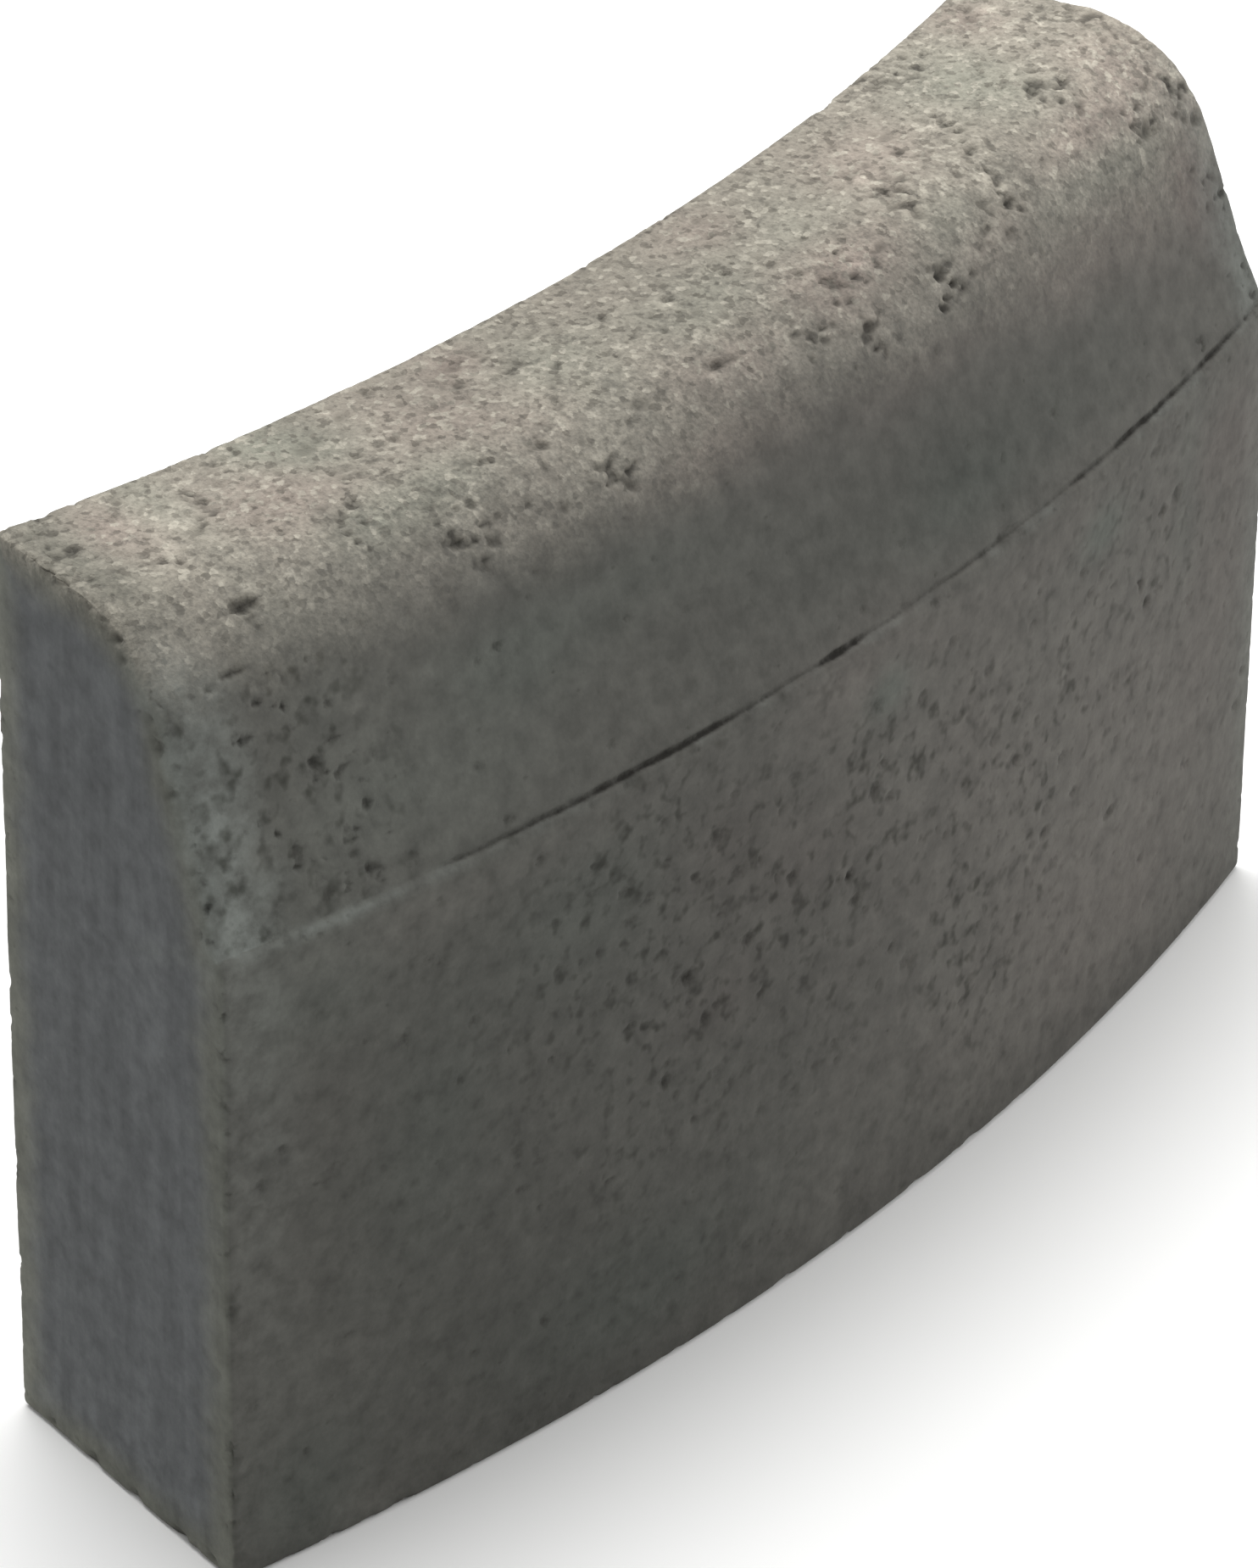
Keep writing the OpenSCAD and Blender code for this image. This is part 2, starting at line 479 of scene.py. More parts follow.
    chips: tuple[tuple[float, ...], ...] = (
        # Near end: out, up, radius, depth, dark
        (28, 300, 3.2, 1.8, 0.7), (20, 300, 2.4, 1.4, 0.6), (36, 299, 2.6, 1.5, 0.7),
        (54, 297, 1.9, 1.2, 0.7), (60, 293, 2.2, 1.6, 0.8), (64, 288, 2.0, 0.9, 0.4),
        (80, 268, 3.2, 1.6, 0.5), (77, 276, 2.2, 1.2, 0.4), (86, 256, 2.4, 1.2, 0.4),
        (94, 243, 2.2, 1.5, 0.7), (97, 235, 2.8, 2.0, 0.8), (101, 226, 2.8, 2.4, 1.0),
        (99, 218, 1.8, 1.2, 0.5), (109, 195, 2.0, 1.0, 0.4), (109, 142, 2.2, 1.1, 0.5),
        (110, 96, 2.4, 1.2, 0.5), (110, 44, 3.0, 1.6, 0.6), (109, 30, 2.0, 1.2, 0.5),
        (104, 72, 1.6, 0.8, 0.5), (98, 71, 1.5, 0.6, 0.5), (68, 171, 1.6, 0.6, 0.4),
        (50, 192, 1.6, 0.5, 0.3), (35, 127, 1.7, 0.6, 0.4), (55, 155, 1.6, 0.5, 0.3),
        (1, 262, 2.6, 0.5, 0.3), (1, 232, 3.0, 0.6, 0.3), (1, 150, 3.4, 0.6, 0.3),
        (1, 137, 2.6, 0.5, 0.3), (1, 88, 2.2, 0.5, 0.3), (1, 52, 2.6, 0.6, 0.3),
        (16, 3, 2.6, 1.2, 0.5), (38, 2, 3.0, 1.4, 0.5), (60, 2, 2.6, 1.2, 0.5),
        (82, 2, 3.2, 1.5, 0.5), (98, 3, 2.6, 1.4, 0.5), (72, 276, 1.8, 0.7, 0.4),
    )
    crumbled: tuple[tuple[float, ...], ...] = (
        # Along, girth, radius, strength
        (-153, 58, 13, 0.6), (-124, 74, 14, 0.7), (-210, 42, 8, 0.6), (-199, 69, 8, 0.5),
        (-108, 55, 11, 0.5), (-70, 78, 11, 0.8), (-135, 35, 14, 0.4), (-76, 18, 10, 0.5),
        (-42, 20, 13, 0.4), (0, 35, 14, 0.4), (22, 71, 12, 0.6), (46, 58, 15, 0.7),
        (44, 82, 11, 0.65), (60, 62, 12, 0.6), (83, 82, 11, 0.65), (96, 50, 13, 0.75),
        (110, 78, 13, 0.5), (145, 40, 8, 0.8), (135, 52, 7, 0.8), (130, 62, 6, 0.8),
        (127, 73, 8, 0.8), (185, 53, 14, 0.75), (186, 66, 10, 0.6), (204, 82, 11, 0.7),
        (228, 84, 13, 0.75), (215, 16, 12, 0.5), (228, 118, 12, 0.6), (-222, 30, 14, 0.2),
        (226, 60, 12, 0.5), (-90, 8, 12, 0.4), (-12, 66, 9, 0.5), (228, 150, 14, 0.6),
        (200, 158, 12, 0.4), (-190, 146, 14, 0.55), (-84, 60, 9, 0.6), (-205, 93, 14, 0.5),
        (-192, 118, 12, 0.5), (-212, 138, 11, 0.45), (-180, 128, 12, 0.3),
    )
    tone_patches: tuple[tuple[float, ...], ...] = (
        # Top: along, girth, reach along, reach girth, warmth, tone
        (-230, 26, 13, 45, -0.5, -0.34), (-200, 26, 20, 26, 0.3, 0.20),
        (-214, 20, 10, 16, 0.8, 0.04), (-192, 20, 9, 40, -0.6, 0.05),
        (-158, 38, 24, 20, 0.9, 0.00), (-152, 10, 12, 12, -0.6, 0.05),
        (-138, 22, 14, 14, -0.8, -0.08), (-150, 60, 20, 12, -0.8, -0.08),
        (-120, 58, 22, 12, -0.7, -0.06), (-98, 32, 24, 24, 0.8, -0.03),
        (-74, 14, 12, 10, 0.9, -0.14), (-45, 30, 26, 22, -0.4, 0.02), (-8, 66, 24, 10, 0.8, 0.02),
        (15, 38, 26, 20, -0.5, -0.02), (42, 16, 18, 12, 0.7, -0.04), (50, 60, 24, 14, 0.9, -0.09),
        (65, 35, 22, 22, -0.4, 0.05), (75, 60, 16, 12, 0.5, -0.05), (115, 28, 26, 20, 0.8, 0.06),
        (104, 66, 18, 12, -0.5, 0.00), (168, 34, 24, 26, -0.6, 0.04), (180, 72, 26, 9, 0.9, 0.05),
        (158, 84, 26, 7, -0.4, 0.06), (190, 90, 20, 7, -0.4, 0.02), (215, 66, 20, 18, 0.7, 0.10),
        (212, 14, 12, 14, 0.9, -0.08), (196, 20, 18, 20, 0.1, 0.12), (110, 80, 22, 9, 0.5, -0.03),
        (-30, 88, 40, 10, 0.6, 0.03), (60, 100, 50, 9, 0.6, 0.05), (20, 30, 90, 50, 0.0, -0.06),
        (-170, 205, 60, 25, 0.0, -0.06), (-20, 245, 50, 60, 0.0, -0.03),
        (70, 135, 60, 25, 0.0, -0.06), (20, 345, 60, 25, 0.0, 0.01),
        (-130, 330, 60, 40, -0.2, -0.05), (-10, 275, 60, 60, 0.0, -0.10),
        (-110, 190, 50, 22, 0.0, -0.02), (20, 126, 70, 20, 0.0, -0.06),
        (150, 128, 50, 22, -0.1, -0.05),
        # Pale flakes and crumbs
        (141, 37, 4.0, 2.6, 0.0, 0.50), (128, 62, 3.0, 2.2, 0.1, 0.45),
        (128, 70, 3.6, 2.0, 0.0, 0.45), (98, 37, 2.6, 4.0, 0.1, 0.45),
        (78, 82, 2.4, 2.4, 0.0, 0.45), (200, 79, 3.4, 2.2, 0.3, 0.40),
        (221, 15, 2.6, 2.6, 0.2, 0.45), (219, 35, 2.6, 2.2, 0.0, 0.45),
        (206, 36, 1.8, 4.5, 0.0, 0.35), (188, 50, 2.6, 2.2, 0.0, 0.50),
        (184, 54, 2.2, 1.8, 0.0, 0.40), (-1, 35, 2.2, 1.8, 0.0, 0.50),
        (59, 62, 2.8, 2.2, 0.2, 0.40), (-18, 67, 3.0, 2.0, 0.0, 0.40),
        (-179, 107, 3.2, 1.8, 0.2, 0.40), (-153, 106, 2.4, 1.8, 0.0, 0.30),
        (-120, 9, 2.4, 1.8, 0.3, 0.40), (-205, 39, 3.0, 2.2, 0.0, 0.35),
        (-152, 55, 3.2, 2.2, -0.2, 0.40), (-146, 61, 2.6, 2.0, -0.2, 0.35),
        (-127, 71, 3.0, 2.2, 0.0, 0.35), (48, 78, 2.6, 2.0, 0.0, 0.35),
        (86, 80, 2.0, 2.0, 0.0, 0.40), (146, 41, 2.6, 2.0, 0.0, 0.40),
        (232, 90, 3.0, 3.0, 0.3, 0.35), (-196, 65, 2.6, 2.0, 0.0, 0.35),
        (20, 67, 3.0, 1.8, 0.0, 0.35),
        # Head
        (150, 108, 40, 14, 0.7, 0.08), (-190, 122, 60, 42, -0.3, 0.15),
        (218, 112, 12, 14, 1.4, 0.06), (230, 142, 14, 16, -0.6, 0.05),
        (224, 134, 12, 12, 0.8, -0.04), (-122, 112, 26, 14, -0.9, 0.02),
        (-70, 108, 40, 14, -0.6, -0.02), (20, 128, 90, 22, -0.3, -0.08),
        (-160, 140, 60, 24, -0.4, 0.09), (-140, 84, 50, 8, 0.0, 0.04),
        (100, 140, 60, 20, -0.4, -0.06), (60, 140, 30, 14, -0.8, -0.04),
        (200, 120, 30, 18, 0.4, 0.10),
        # Face: the girth carries on down it. The largest patches make the face darker towards its
        # left end, lighter towards its right end, and darker along the foot of its right half
        (-130, 265, 110, 125, -0.2, -0.21), (-200, 290, 60, 80, -0.1, -0.06),
        (130, 290, 130, 110, 0.5, 0.20), (-195, 308, 12, 10, 0.1, 0.10),
        (-192, 366, 12, 7, 0.3, 0.22), (-2, 172, 26, 16, 0.6, 0.16),
        (-62, 200, 22, 20, 0.5, -0.03), (-30, 222, 26, 16, 0.4, -0.03),
        (-120, 200, 34, 26, -0.7, 0.02), (-170, 250, 24, 40, -0.7, 0.02),
        (-200, 186, 20, 18, -0.5, 0.06), (-58, 255, 18, 14, 0.5, -0.02),
        (-215, 350, 22, 24, -0.8, 0.00), (-155, 208, 30, 22, 0.1, 0.03),
        (30, 210, 60, 40, 0.2, 0.06), (12, 183, 10, 9, -1.6, 0.02), (124, 185, 12, 9, -1.6, 0.03),
        (180, 200, 10, 30, -0.8, 0.02), (225, 200, 16, 30, 0.6, 0.04),
        (236, 260, 8, 120, -0.7, 0.24), (-90, 340, 50, 24, -0.8, -0.10),
        (72, 312, 12, 8, 0.0, -0.14), (100, 366, 130, 8, 0.0, -0.12),
        (-100, 366, 60, 8, 0.1, -0.04), (210, 240, 30, 60, 0.3, -0.06),
        (150, 330, 60, 30, 0.3, 0.08), (190, 195, 26, 14, 0.5, 0.00),
        (-150, 172, 80, 8, 0.2, 0.10), (60, 176, 60, 8, 0.2, 0.02),
        (-220, 182, 20, 26, -0.3, 0.05),
    )
    pale_reach: tuple[tuple[float, float], ...] = (
        # How far down the girth the pale top skin runs: along, girth
        (-240, 103), (-60, 107), (60, 114), (150, 128), (240, 138),
    )
    pore_fields: tuple[tuple[float, float, float], ...] = (
        # Where pores crowd on the face: along, up, reach
        (-75, 125, 42), (-70, 150, 60), (-100, 175, 35), (25, 150, 50), (85, 120, 45),
        (150, 160, 45), (60, 70, 30),
    )
    spreads: tuple[Spread, ...] = (
        Spread(Zone.TOP, 420, 0.8, 2.0, 0.9, 0.6),
        Spread(Zone.HEAD, 190, 0.9, 2.6, 0.45, 0.5),
        Spread(Zone.FACE, 380, 1.0, 2.8, 0.35, 0.5),
        Spread(Zone.BACK, 300, 0.9, 2.9, 1.2, 0.8),
        Spread(Zone.END, 60, 0.9, 2.2, 0.25, 0.2),
        Spread(Zone.BED, 140, 1.0, 3.0, 1.2, 0.6),
    )
    seam_marks: tuple[tuple[float, float], ...] = (
        # How open the mould's joint line is: along, opening
        (-240, 0.00), (-168, 0.02), (-158, 0.40), (-140, 0.55), (-118, 0.65), (-96, 0.80),
        (-83, 1.00), (-66, 0.80), (-50, 0.50), (-34, 0.40), (-22, 0.25), (-12, 1.00), (-4, 0.90),
        (6, 0.35), (28, 0.25), (48, 0.40), (62, 0.45), (80, 0.25), (102, 0.30), (114, 0.60),
        (128, 0.35), (142, 0.80), (160, 0.90), (172, 0.60), (184, 0.45), (196, 0.85), (206, 0.70),
        (220, 0.35), (240, 0.20),
    )


@dataclass
class KerbStone:
    """The casting: its outline, its grid, its relief and its final mesh."""

    profile: Profile
    marks: Blemishes = field(default_factory=Blemishes)
    seed: int = 41
    rows: int = 262
    columns: int = 40
    stations: int = 440
    triangle_budget: int = 190_000
    seam_depth: float = 1.5
    seam_half_width: float = 0.95
    ledge_round: float = 2.0
    noise: Noise = field(init=False)

    def __post_init__(self) -> None:
        """Sets up the seeded noise."""
        self.noise = Noise(self.seed)

    def build(self) -> bpy.types.Object:
        """Models the stone.

        Returns:
            The finished mesh object.
        """
        skin, faces = self._skin()
        self._tint(skin)
        self._rub(skin)
        self._pore(skin)
        self._strew(skin)
        self._crumble(skin)
        self._roughen(skin)
        moved = skin.points - skin.normals * skin.relief[:, None]
        dense = self._mesh("kerb_stone_dense", self.profile.bend(moved), faces)
        return self._thin(dense, skin)

    @property
    def _head_lengths(self) -> tuple[float, float, float, float]:
        """Works out the lengths of the outline's parts on the face side.

        Returns:
            Lengths of the face, the ledge, the batter and the nose, going up.
        """
        shape = self.profile
        arris = np.array([shape.thickness, shape.arris_height])
        return (
            shape.arris_height,
            float(np.hypot(*(shape.batter_foot - arris))),
            float(np.hypot(*(shape.batter_top - shape.batter_foot))),
            shape.nose_radius * (math.pi / 2.0 - shape.batter_angle),
        )

    @property
    def _girth_of_foot(self) -> float:
        """Girth at the foot of the upright face."""
        return self.profile.flat_width + sum(self._head_lengths)

    def _side(self, start: np.ndarray, end: np.ndarray, inward: np.ndarray, count: int,
              start_round: np.ndarray, end_round: np.ndarray, finer: float
              ) -> tuple[np.ndarray, np.ndarray]:
        """Lays points along one straight side whose ends run round into the next sides.

        Args:
            start: First corner, as (out, up).
            end: Last corner.
            inward: Unit direction into the stone, square to the side.
            count: Number of steps.
            start_round: Rounding radius at the first corner, for each station.
            end_round: Rounding radius at the last corner, for each station.
            finer: How much closer the points stand near the ends, from 0 to 1.

        Returns:
            The points and their outward normals, each of shape (stations + 1, count + 1, 2).
        """
        length = float(np.linalg.norm(end - start))
        tangent = (end - start) / length
        t = np.linspace(0.0, 1.0, count + 1)
        t = t - finer * np.sin(2.0 * math.pi * t) / (2.0 * math.pi)
        reach = np.broadcast_to(t * length, (len(start_round), count + 1))
        shift = np.zeros_like(reach)
        drop = np.zeros_like(reach)
        lean = np.zeros_like(reach)
        for distance, radius, sign in (
            (reach, start_round[:, None], 1.0),
            (length - reach, end_round[:, None], -1.0),
        ):
            moved, sunk, turn = self._round_over(distance, radius)
            shift += sign * (moved - distance)
            drop += sunk
            lean -= sign * turn
        points = start + (reach + shift)[..., None] * tangent + drop[..., None] * inward
        normals = -np.cos(lean)[..., None] * inward + np.sin(lean)[..., None] * tangent
        return points, normals

    @staticmethod
    def _round_over(distance: np.ndarray, radius: np.ndarray
                    ) -> tuple[np.ndarray, np.ndarray, np.ndarray]:
        """Bends the strip beside a square edge into its half of a quarter round.

        Args:
            distance: Distance of each point from the edge.
            radius: Rounding radius there.

        Returns:
            The new distance from the edge, how deep the point sinks, and how far it turns.
        """
        safe = np.where(radius > 0.0, radius, 1.0)
        near = (distance < radius) & (radius > 0.0)
        turn = np.where(near, math.pi / 4.0 * (1.0 - distance / safe), 0.0)
        moved = np.where(near, radius * (1.0 - np.sin(turn)), distance)
        return moved, np.where(near, radius * (1.0 - np.cos(turn)), 0.0), turn

    def _face_side(self, foot_round: np.ndarray) -> tuple[np.ndarray, np.ndarray, np.ndarray]:
        """Lays points up the upright face, over the ledge, up the batter and round the nose.

        Args:
            foot_round: Rounding radius at the foot of the face, for each station.

        Returns:
            The points, their outward normals, and how far up the outline each one is.
        """
        shape = self.profile
        face, ledge, batter, nose = self._head_lengths
        seam_at = face + ledge
        fine = np.linspace(0.0, seam_at + batter + nose, 4001)
        # Points stand closer together where the seam and the worn foot run
        density = 1.0 + 0.25 * (fine > seam_at) + 2.8 * np.exp(-((fine - seam_at) / 3.6) ** 2)
        density += 1.2 * np.exp(-(fine / 4.0) ** 2)
        share = np.concatenate([[0.0], np.cumsum((density[1:] + density[:-1]) / 2.0)])
        steps = np.interp(np.linspace(0.0, share[-1], self.rows + 1), share, fine)
        arris_row = int(np.abs(steps - face).argmin())
        seam_row = int(np.abs(steps - seam_at).argmin())
        steps[arris_row] = face
        steps[seam_row] = seam_at
        foot = shape.batter_foot
        arris = np.array([shape.thickness, shape.arris_height])
        knots = np.array([0.0, face, seam_at, seam_at + batter])
        corners = np.array([[shape.thickness, 0.0], arris, foot, shape.batter_top])
        points = np.column_stack([np.interp(steps, knots, corners[:, axis]) for axis in (0, 1)])
        turn = shape.batter_angle + np.maximum(steps - knots[3], 0.0) / shape.nose_radius
        on_nose = steps > knots[3]
        arc = shape.nose_centre + shape.nose_radius * np.column_stack([np.cos(turn), np.sin(turn)])
        points[on_nose] = arc[on_nose]
        ledge_turn = math.atan2(arris[0] - foot[0], foot[1] - arris[1])
        lean = np.where(steps <= face, 0.0, np.where(steps <= seam_at, ledge_turn, turn))
        # The arris is worn round, so the face leans back into the ledge over a few millimetres
        worn = smoothstep(face - self.ledge_round, face + 0.6 * ledge, steps)
        lean = np.where(steps <= seam_at, worn * ledge_turn, lean)
        sink = 0.45 * self.ledge_round * np.exp(-((steps - face) / (0.55 * self.ledge_round)) ** 2)
        middle = np.array([math.cos(ledge_turn / 2.0), math.sin(ledge_turn / 2.0)])
        points -= sink[:, None] * middle
        normals = np.column_stack([np.cos(lean), np.sin(lean)])
        points = np.repeat(points[None], len(foot_round), axis=0)
        normals = np.repeat(normals[None], len(foot_round), axis=0)
        low = steps < face / 2.0
        distance = np.broadcast_to(steps[low], (len(foot_round), int(low.sum())))
        moved, sunk, turned = self._round_over(distance, foot_round[:, None])
        points[:, low] = np.stack([shape.thickness - sunk, moved], axis=-1)
        normals[:, low] = np.stack([np.cos(turned), -np.sin(turned)], axis=-1)
        return points, normals, steps

    def _along(self) -> np.ndarray:
        """Stations along the stone, closer together near both ends."""
        t = np.linspace(-1.0, 1.0, self.stations + 1)
        return (t + 0.10 * np.sin(math.pi * t) / math.pi) * self.profile.half_length

    def _wear(self, base: float, along: np.ndarray, key: float, extra: float) -> np.ndarray:
        """Gives an edge's rounding, which wear and small chips widen here and there.

        Args:
            base: Least radius.
            along: Places along the edge.
            key: Number that sets this edge apart from the others.
            extra: Most that a chip adds.

        Returns:
            The radius at each place.
        """
        places = np.column_stack([along, np.full_like(along, key), np.full_like(along, key * 0.7)])
        slow = 0.5 + 0.5 * self.noise.layers(places, 60.0, 2)
        chips = smoothstep(0.18, 0.62, self.noise.layers(places + 91.0, 13.0, 3))
        return base * (0.85 + 0.45 * slow) + extra * chips

    def _ring(self) -> tuple[np.ndarray, np.ndarray, np.ndarray, np.ndarray, np.ndarray]:
        """Lays the section's outline at each station, as one closed ring.

        Returns:
            The points and normals of shape (stations + 1, ring, 2), and for each ring point its
            zone, its girth and its distance from the seam.
        """
        shape = self.profile
        along = self._along()
        back_foot = self._wear(0.8 * shape.bed_edge_radius, along, 3.0, 2.0)
        face_foot = self._wear(0.8 * shape.bed_edge_radius, along, 11.0, 1.2)
        back_top = self._wear(shape.back_edge_radius * 0.75, along, 23.0, 3.0)
        origin = np.zeros(2)
        face_corner = np.array([shape.thickness, 0.0])
        back_corner = np.array([0.0, shape.height])
        nose_start = np.array([shape.flat_width, shape.height])
        into_bed = np.array([0.0, 1.0])
        into_back = np.array([1.0, 0.0])
        bed = self._side(origin, face_corner, into_bed, self.columns, back_foot, face_foot, 0.6)
        top = self._side(back_corner, nose_start, -into_bed, self.columns, back_top,
                         np.zeros_like(along), 0.3)
        back = self._side(origin, back_corner, into_back, self.rows, back_foot, back_top, 0.25)
        face_points, face_normals, steps = self._face_side(face_foot)
        down_top = slice(-2, None, -1)
        down_back = slice(self.rows - 1, 0, -1)
        points, normals = (
            np.concatenate([bed[i], face_side[:, 1:], top[i][:, down_top], back[i][:, down_back]],
                           axis=1)
            for i, face_side in ((0, face_points), (1, face_normals))
        )
        seam_at = sum(self._head_lengths[:2])
        bed_blank = np.full(self.columns + 1, NOWHERE)
        back_blank = np.full(self.rows - 1, NOWHERE)
        top_girth = np.linspace(0.0, 1.0, self.columns + 1)
        top_girth -= 0.3 * np.sin(2.0 * math.pi * top_girth) / (2.0 * math.pi)
        top_girth = (top_girth * shape.flat_width)[down_top]
        girth = np.concatenate([bed_blank, self._girth_of_foot - steps[1:], top_girth, back_blank])
        seam = np.concatenate([bed_blank, steps[1:] - seam_at, bed_blank[1:], back_blank])
        zone = np.concatenate([
            np.full(self.columns + 1, Zone.BED.value),
            np.where(steps[1:] <= seam_at, Zone.FACE.value, Zone.HEAD.value),
            np.full(self.columns, Zone.TOP.value),
            np.full(self.rows - 1, Zone.BACK.value),
        ])
        return points, normals, zone, girth, seam

    def _skin(self) -> tuple[Skin, np.ndarray]:
        """Sweeps the ring along the stone, closes its ends and rounds the end edges.

        Returns:
            The surface and its quads.
        """
        ring, ring_normals, zone, girth, seam = self._ring()
        along = self._along()
        stations, count = ring.shape[:2]
        half = self.profile.half_length
        spread_along = np.broadcast_to(along[:, None, None], ring.shape[:2] + (1,))
        points = np.concatenate([spread_along, ring], axis=2)
        normals = np.concatenate([np.zeros(ring.shape[:2] + (1,)), ring_normals], axis=2)
        end_gap = np.repeat((half - np.abs(along))[:, None], count, axis=1)
        rounds = {side: self._end_wear(ring[station], side) for side, station in ((-1, 0), (1, -1))}
        for side, radius in rounds.items():
            distance = np.broadcast_to((half - side * along)[:, None], (stations, count))
            moved, sunk, turn = self._round_over(distance, radius[None, :])
            near = distance < radius[None, :]
            points[..., 0] = np.where(near, side * (half - moved), points[..., 0])
            points[..., 1:] -= sunk[..., None] * ring_normals
            normals[..., 1:] *= np.cos(turn)[..., None]
            normals[..., 0] += side * np.sin(turn)
        index = np.arange(stations * count).reshape(stations, count)
        following = np.roll(index, -1, axis=1)
        quads = [np.stack([index[1:], following[1:], following[:-1], index[:-1]],
                          axis=-1).reshape(-1, 4)]
        on_ring = np.tile(np.arange(count), stations)
        layers = [(points.reshape(-1, 3), normals.reshape(-1, 3), end_gap.reshape(-1), on_ring)]
        start = stations * count
        for side, station in ((-1, 0), (1, stations - 1)):
            cap = self._cap(ring[station], ring_normals[station], rounds[side], side)
            lattice = self._cap_lattice(index[station], start)
            quad = np.stack([lattice[:-1, :-1], lattice[:-1, 1:], lattice[1:, 1:],
                             lattice[1:, :-1]], axis=-1).reshape(-1, 4)
            quads.append(quad if side < 0 else quad[:, ::-1])
            layers.append(cap)
            start += len(cap[0])
        all_points, all_normals, gaps, beside = (np.concatenate(part) for part in zip(*layers))
        all_normals = all_normals / np.linalg.norm(all_normals, axis=1, keepdims=True)
        caps = len(all_points) - stations * count
        skin = Skin(
            points=all_points,
            normals=all_normals,
            zone=np.concatenate([np.tile(zone, stations), np.full(caps, Zone.END.value)]),
            girth=girth[beside],
            seam=seam[beside],
            end_gap=gaps,
            on_side=np.concatenate([np.ones(stations * count), np.exp(-gaps[-caps:] / 4.0)]),
            relief=np.zeros(len(all_points)),
            shows={},
        )
        return skin, np.concatenate(quads)

    def _end_wear(self, outline: np.ndarray, side: int) -> np.ndarray:
        """Gives the rounding of an end's edge at each point of the outline.

        Args:
            outline: The section's outline at that end.
            side: -1 at the near, left end, 1 at the far end.

        Returns:
            The rounding radius at each point.
        """
        out, up = outline[:, 0], outline[:, 1]
        places = np.column_stack([np.full(len(outline), 55.0 * side), outline])
        slow = self.noise.layers(places, 40.0, 2)
        chips = smoothstep(0.15, 0.60, self.noise.layers(places + 37.0, 11.0, 3))
        # The head's edge has been knocked most, and above all at the near end
        head = smoothstep(205.0, 240.0, up) * smoothstep(38.0, 66.0, out)
        broad = (5.4 if side < 0 else 2.6) * head
        return (2.4 + broad) * (1.0 + 0.35 * slow) + (0.3 + 2.6 * head) * chips

    def _cap(self, outline: np.ndarray, outline_normals: np.ndarray, radius: np.ndarray,
             side: int) -> tuple[np.ndarray, np.ndarray, np.ndarray, np.ndarray]:
        """Fills an end with a lattice of points that runs round into the sides.

        Args:
            outline: The section's outline at that end.
            outline_normals: Its outward normals.
            radius: Rounding radius at each outline point.
            side: -1 at the left end, 1 at the right.

        Returns:
            The inner lattice points, their normals, their distance from the end's edge, and the
            outline point nearest to each.
        """
        rows, columns = self.rows, self.columns
        bed = outline[:columns + 1]
        face = outline[columns:columns + rows + 1]
        top = outline[columns + rows:2 * columns + rows + 1][::-1]
        back = np.concatenate([outline[:1], outline[2 * columns + rows:][::-1]])
        v = np.linspace(0.0, 1.0, rows + 1)[:, None, None]
        h = np.linspace(0.0, 1.0, columns + 1)[None, :, None]
        patch = (1 - h) * back[:, None] + h * face[:, None] + (1 - v) * bed[None] + v * top[None]
        patch -= (1 - h) * (1 - v) * bed[0] + h * (1 - v) * bed[-1]
        patch -= (1 - h) * v * top[0] + h * v * top[-1]
        inner = patch[1:-1, 1:-1].reshape(-1, 2)
        nearest = np.zeros(len(inner), dtype=int)
        distance = np.zeros(len(inner))
        for begin in range(0, len(inner), 2000):
            part = slice(begin, begin + 2000)
            gap = np.linalg.norm(inner[part, None] - outline[None], axis=-1)
            nearest[part] = gap.argmin(axis=1)
            distance[part] = gap.min(axis=1)
        moved, sunk, turn = self._round_over(distance, radius[nearest])
        away = outline_normals[nearest]
        flat = inner - (moved - distance)[:, None] * away
        points = np.column_stack([side * (self.profile.half_length - sunk), flat])
        normals = np.column_stack([side * np.cos(turn), np.sin(turn)[:, None] * away])
        return points, normals, distance, nearest

    def _cap_lattice(self, ring_index: np.ndarray, start: int) -> np.ndarray:
        """Numbers an end's lattice, with the ring's own points round its border.

        Args:
            ring_index: The ring's point numbers at that end.
            start: Number of the first inner point.

        Returns:
            Point numbers of shape (rows + 1, columns + 1), from the back foot up and out.
        """
        rows, columns = self.rows, self.columns
        lattice = np.zeros((rows + 1, columns + 1), dtype=np.int64)
        lattice[0] = ring_index[:columns + 1]
        lattice[:, -1] = ring_index[columns:columns + rows + 1]
        lattice[-1] = ring_index[columns + rows:2 * columns + rows + 1][::-1]
        lattice[1:-1, 0] = ring_index[2 * columns + rows + 1:][::-1]
        inner = np.arange((rows - 1) * (columns - 1)).reshape(rows - 1, columns - 1)
        lattice[1:-1, 1:-1] = inner + start
        return lattice

    def _tint(self, skin: Skin) -> None:
        """Works out the soft colouring: the pale top skin, then warmth, tone and the listed
        patches.

        Args:
            skin: The surface.
        """
        noise = self.noise
        along, up = skin.points[:, 0], skin.points[:, 2]
        girth = skin.girth
        wobble = 9.0 * noise.layers(skin.points + 40.0, 34.0, 3)
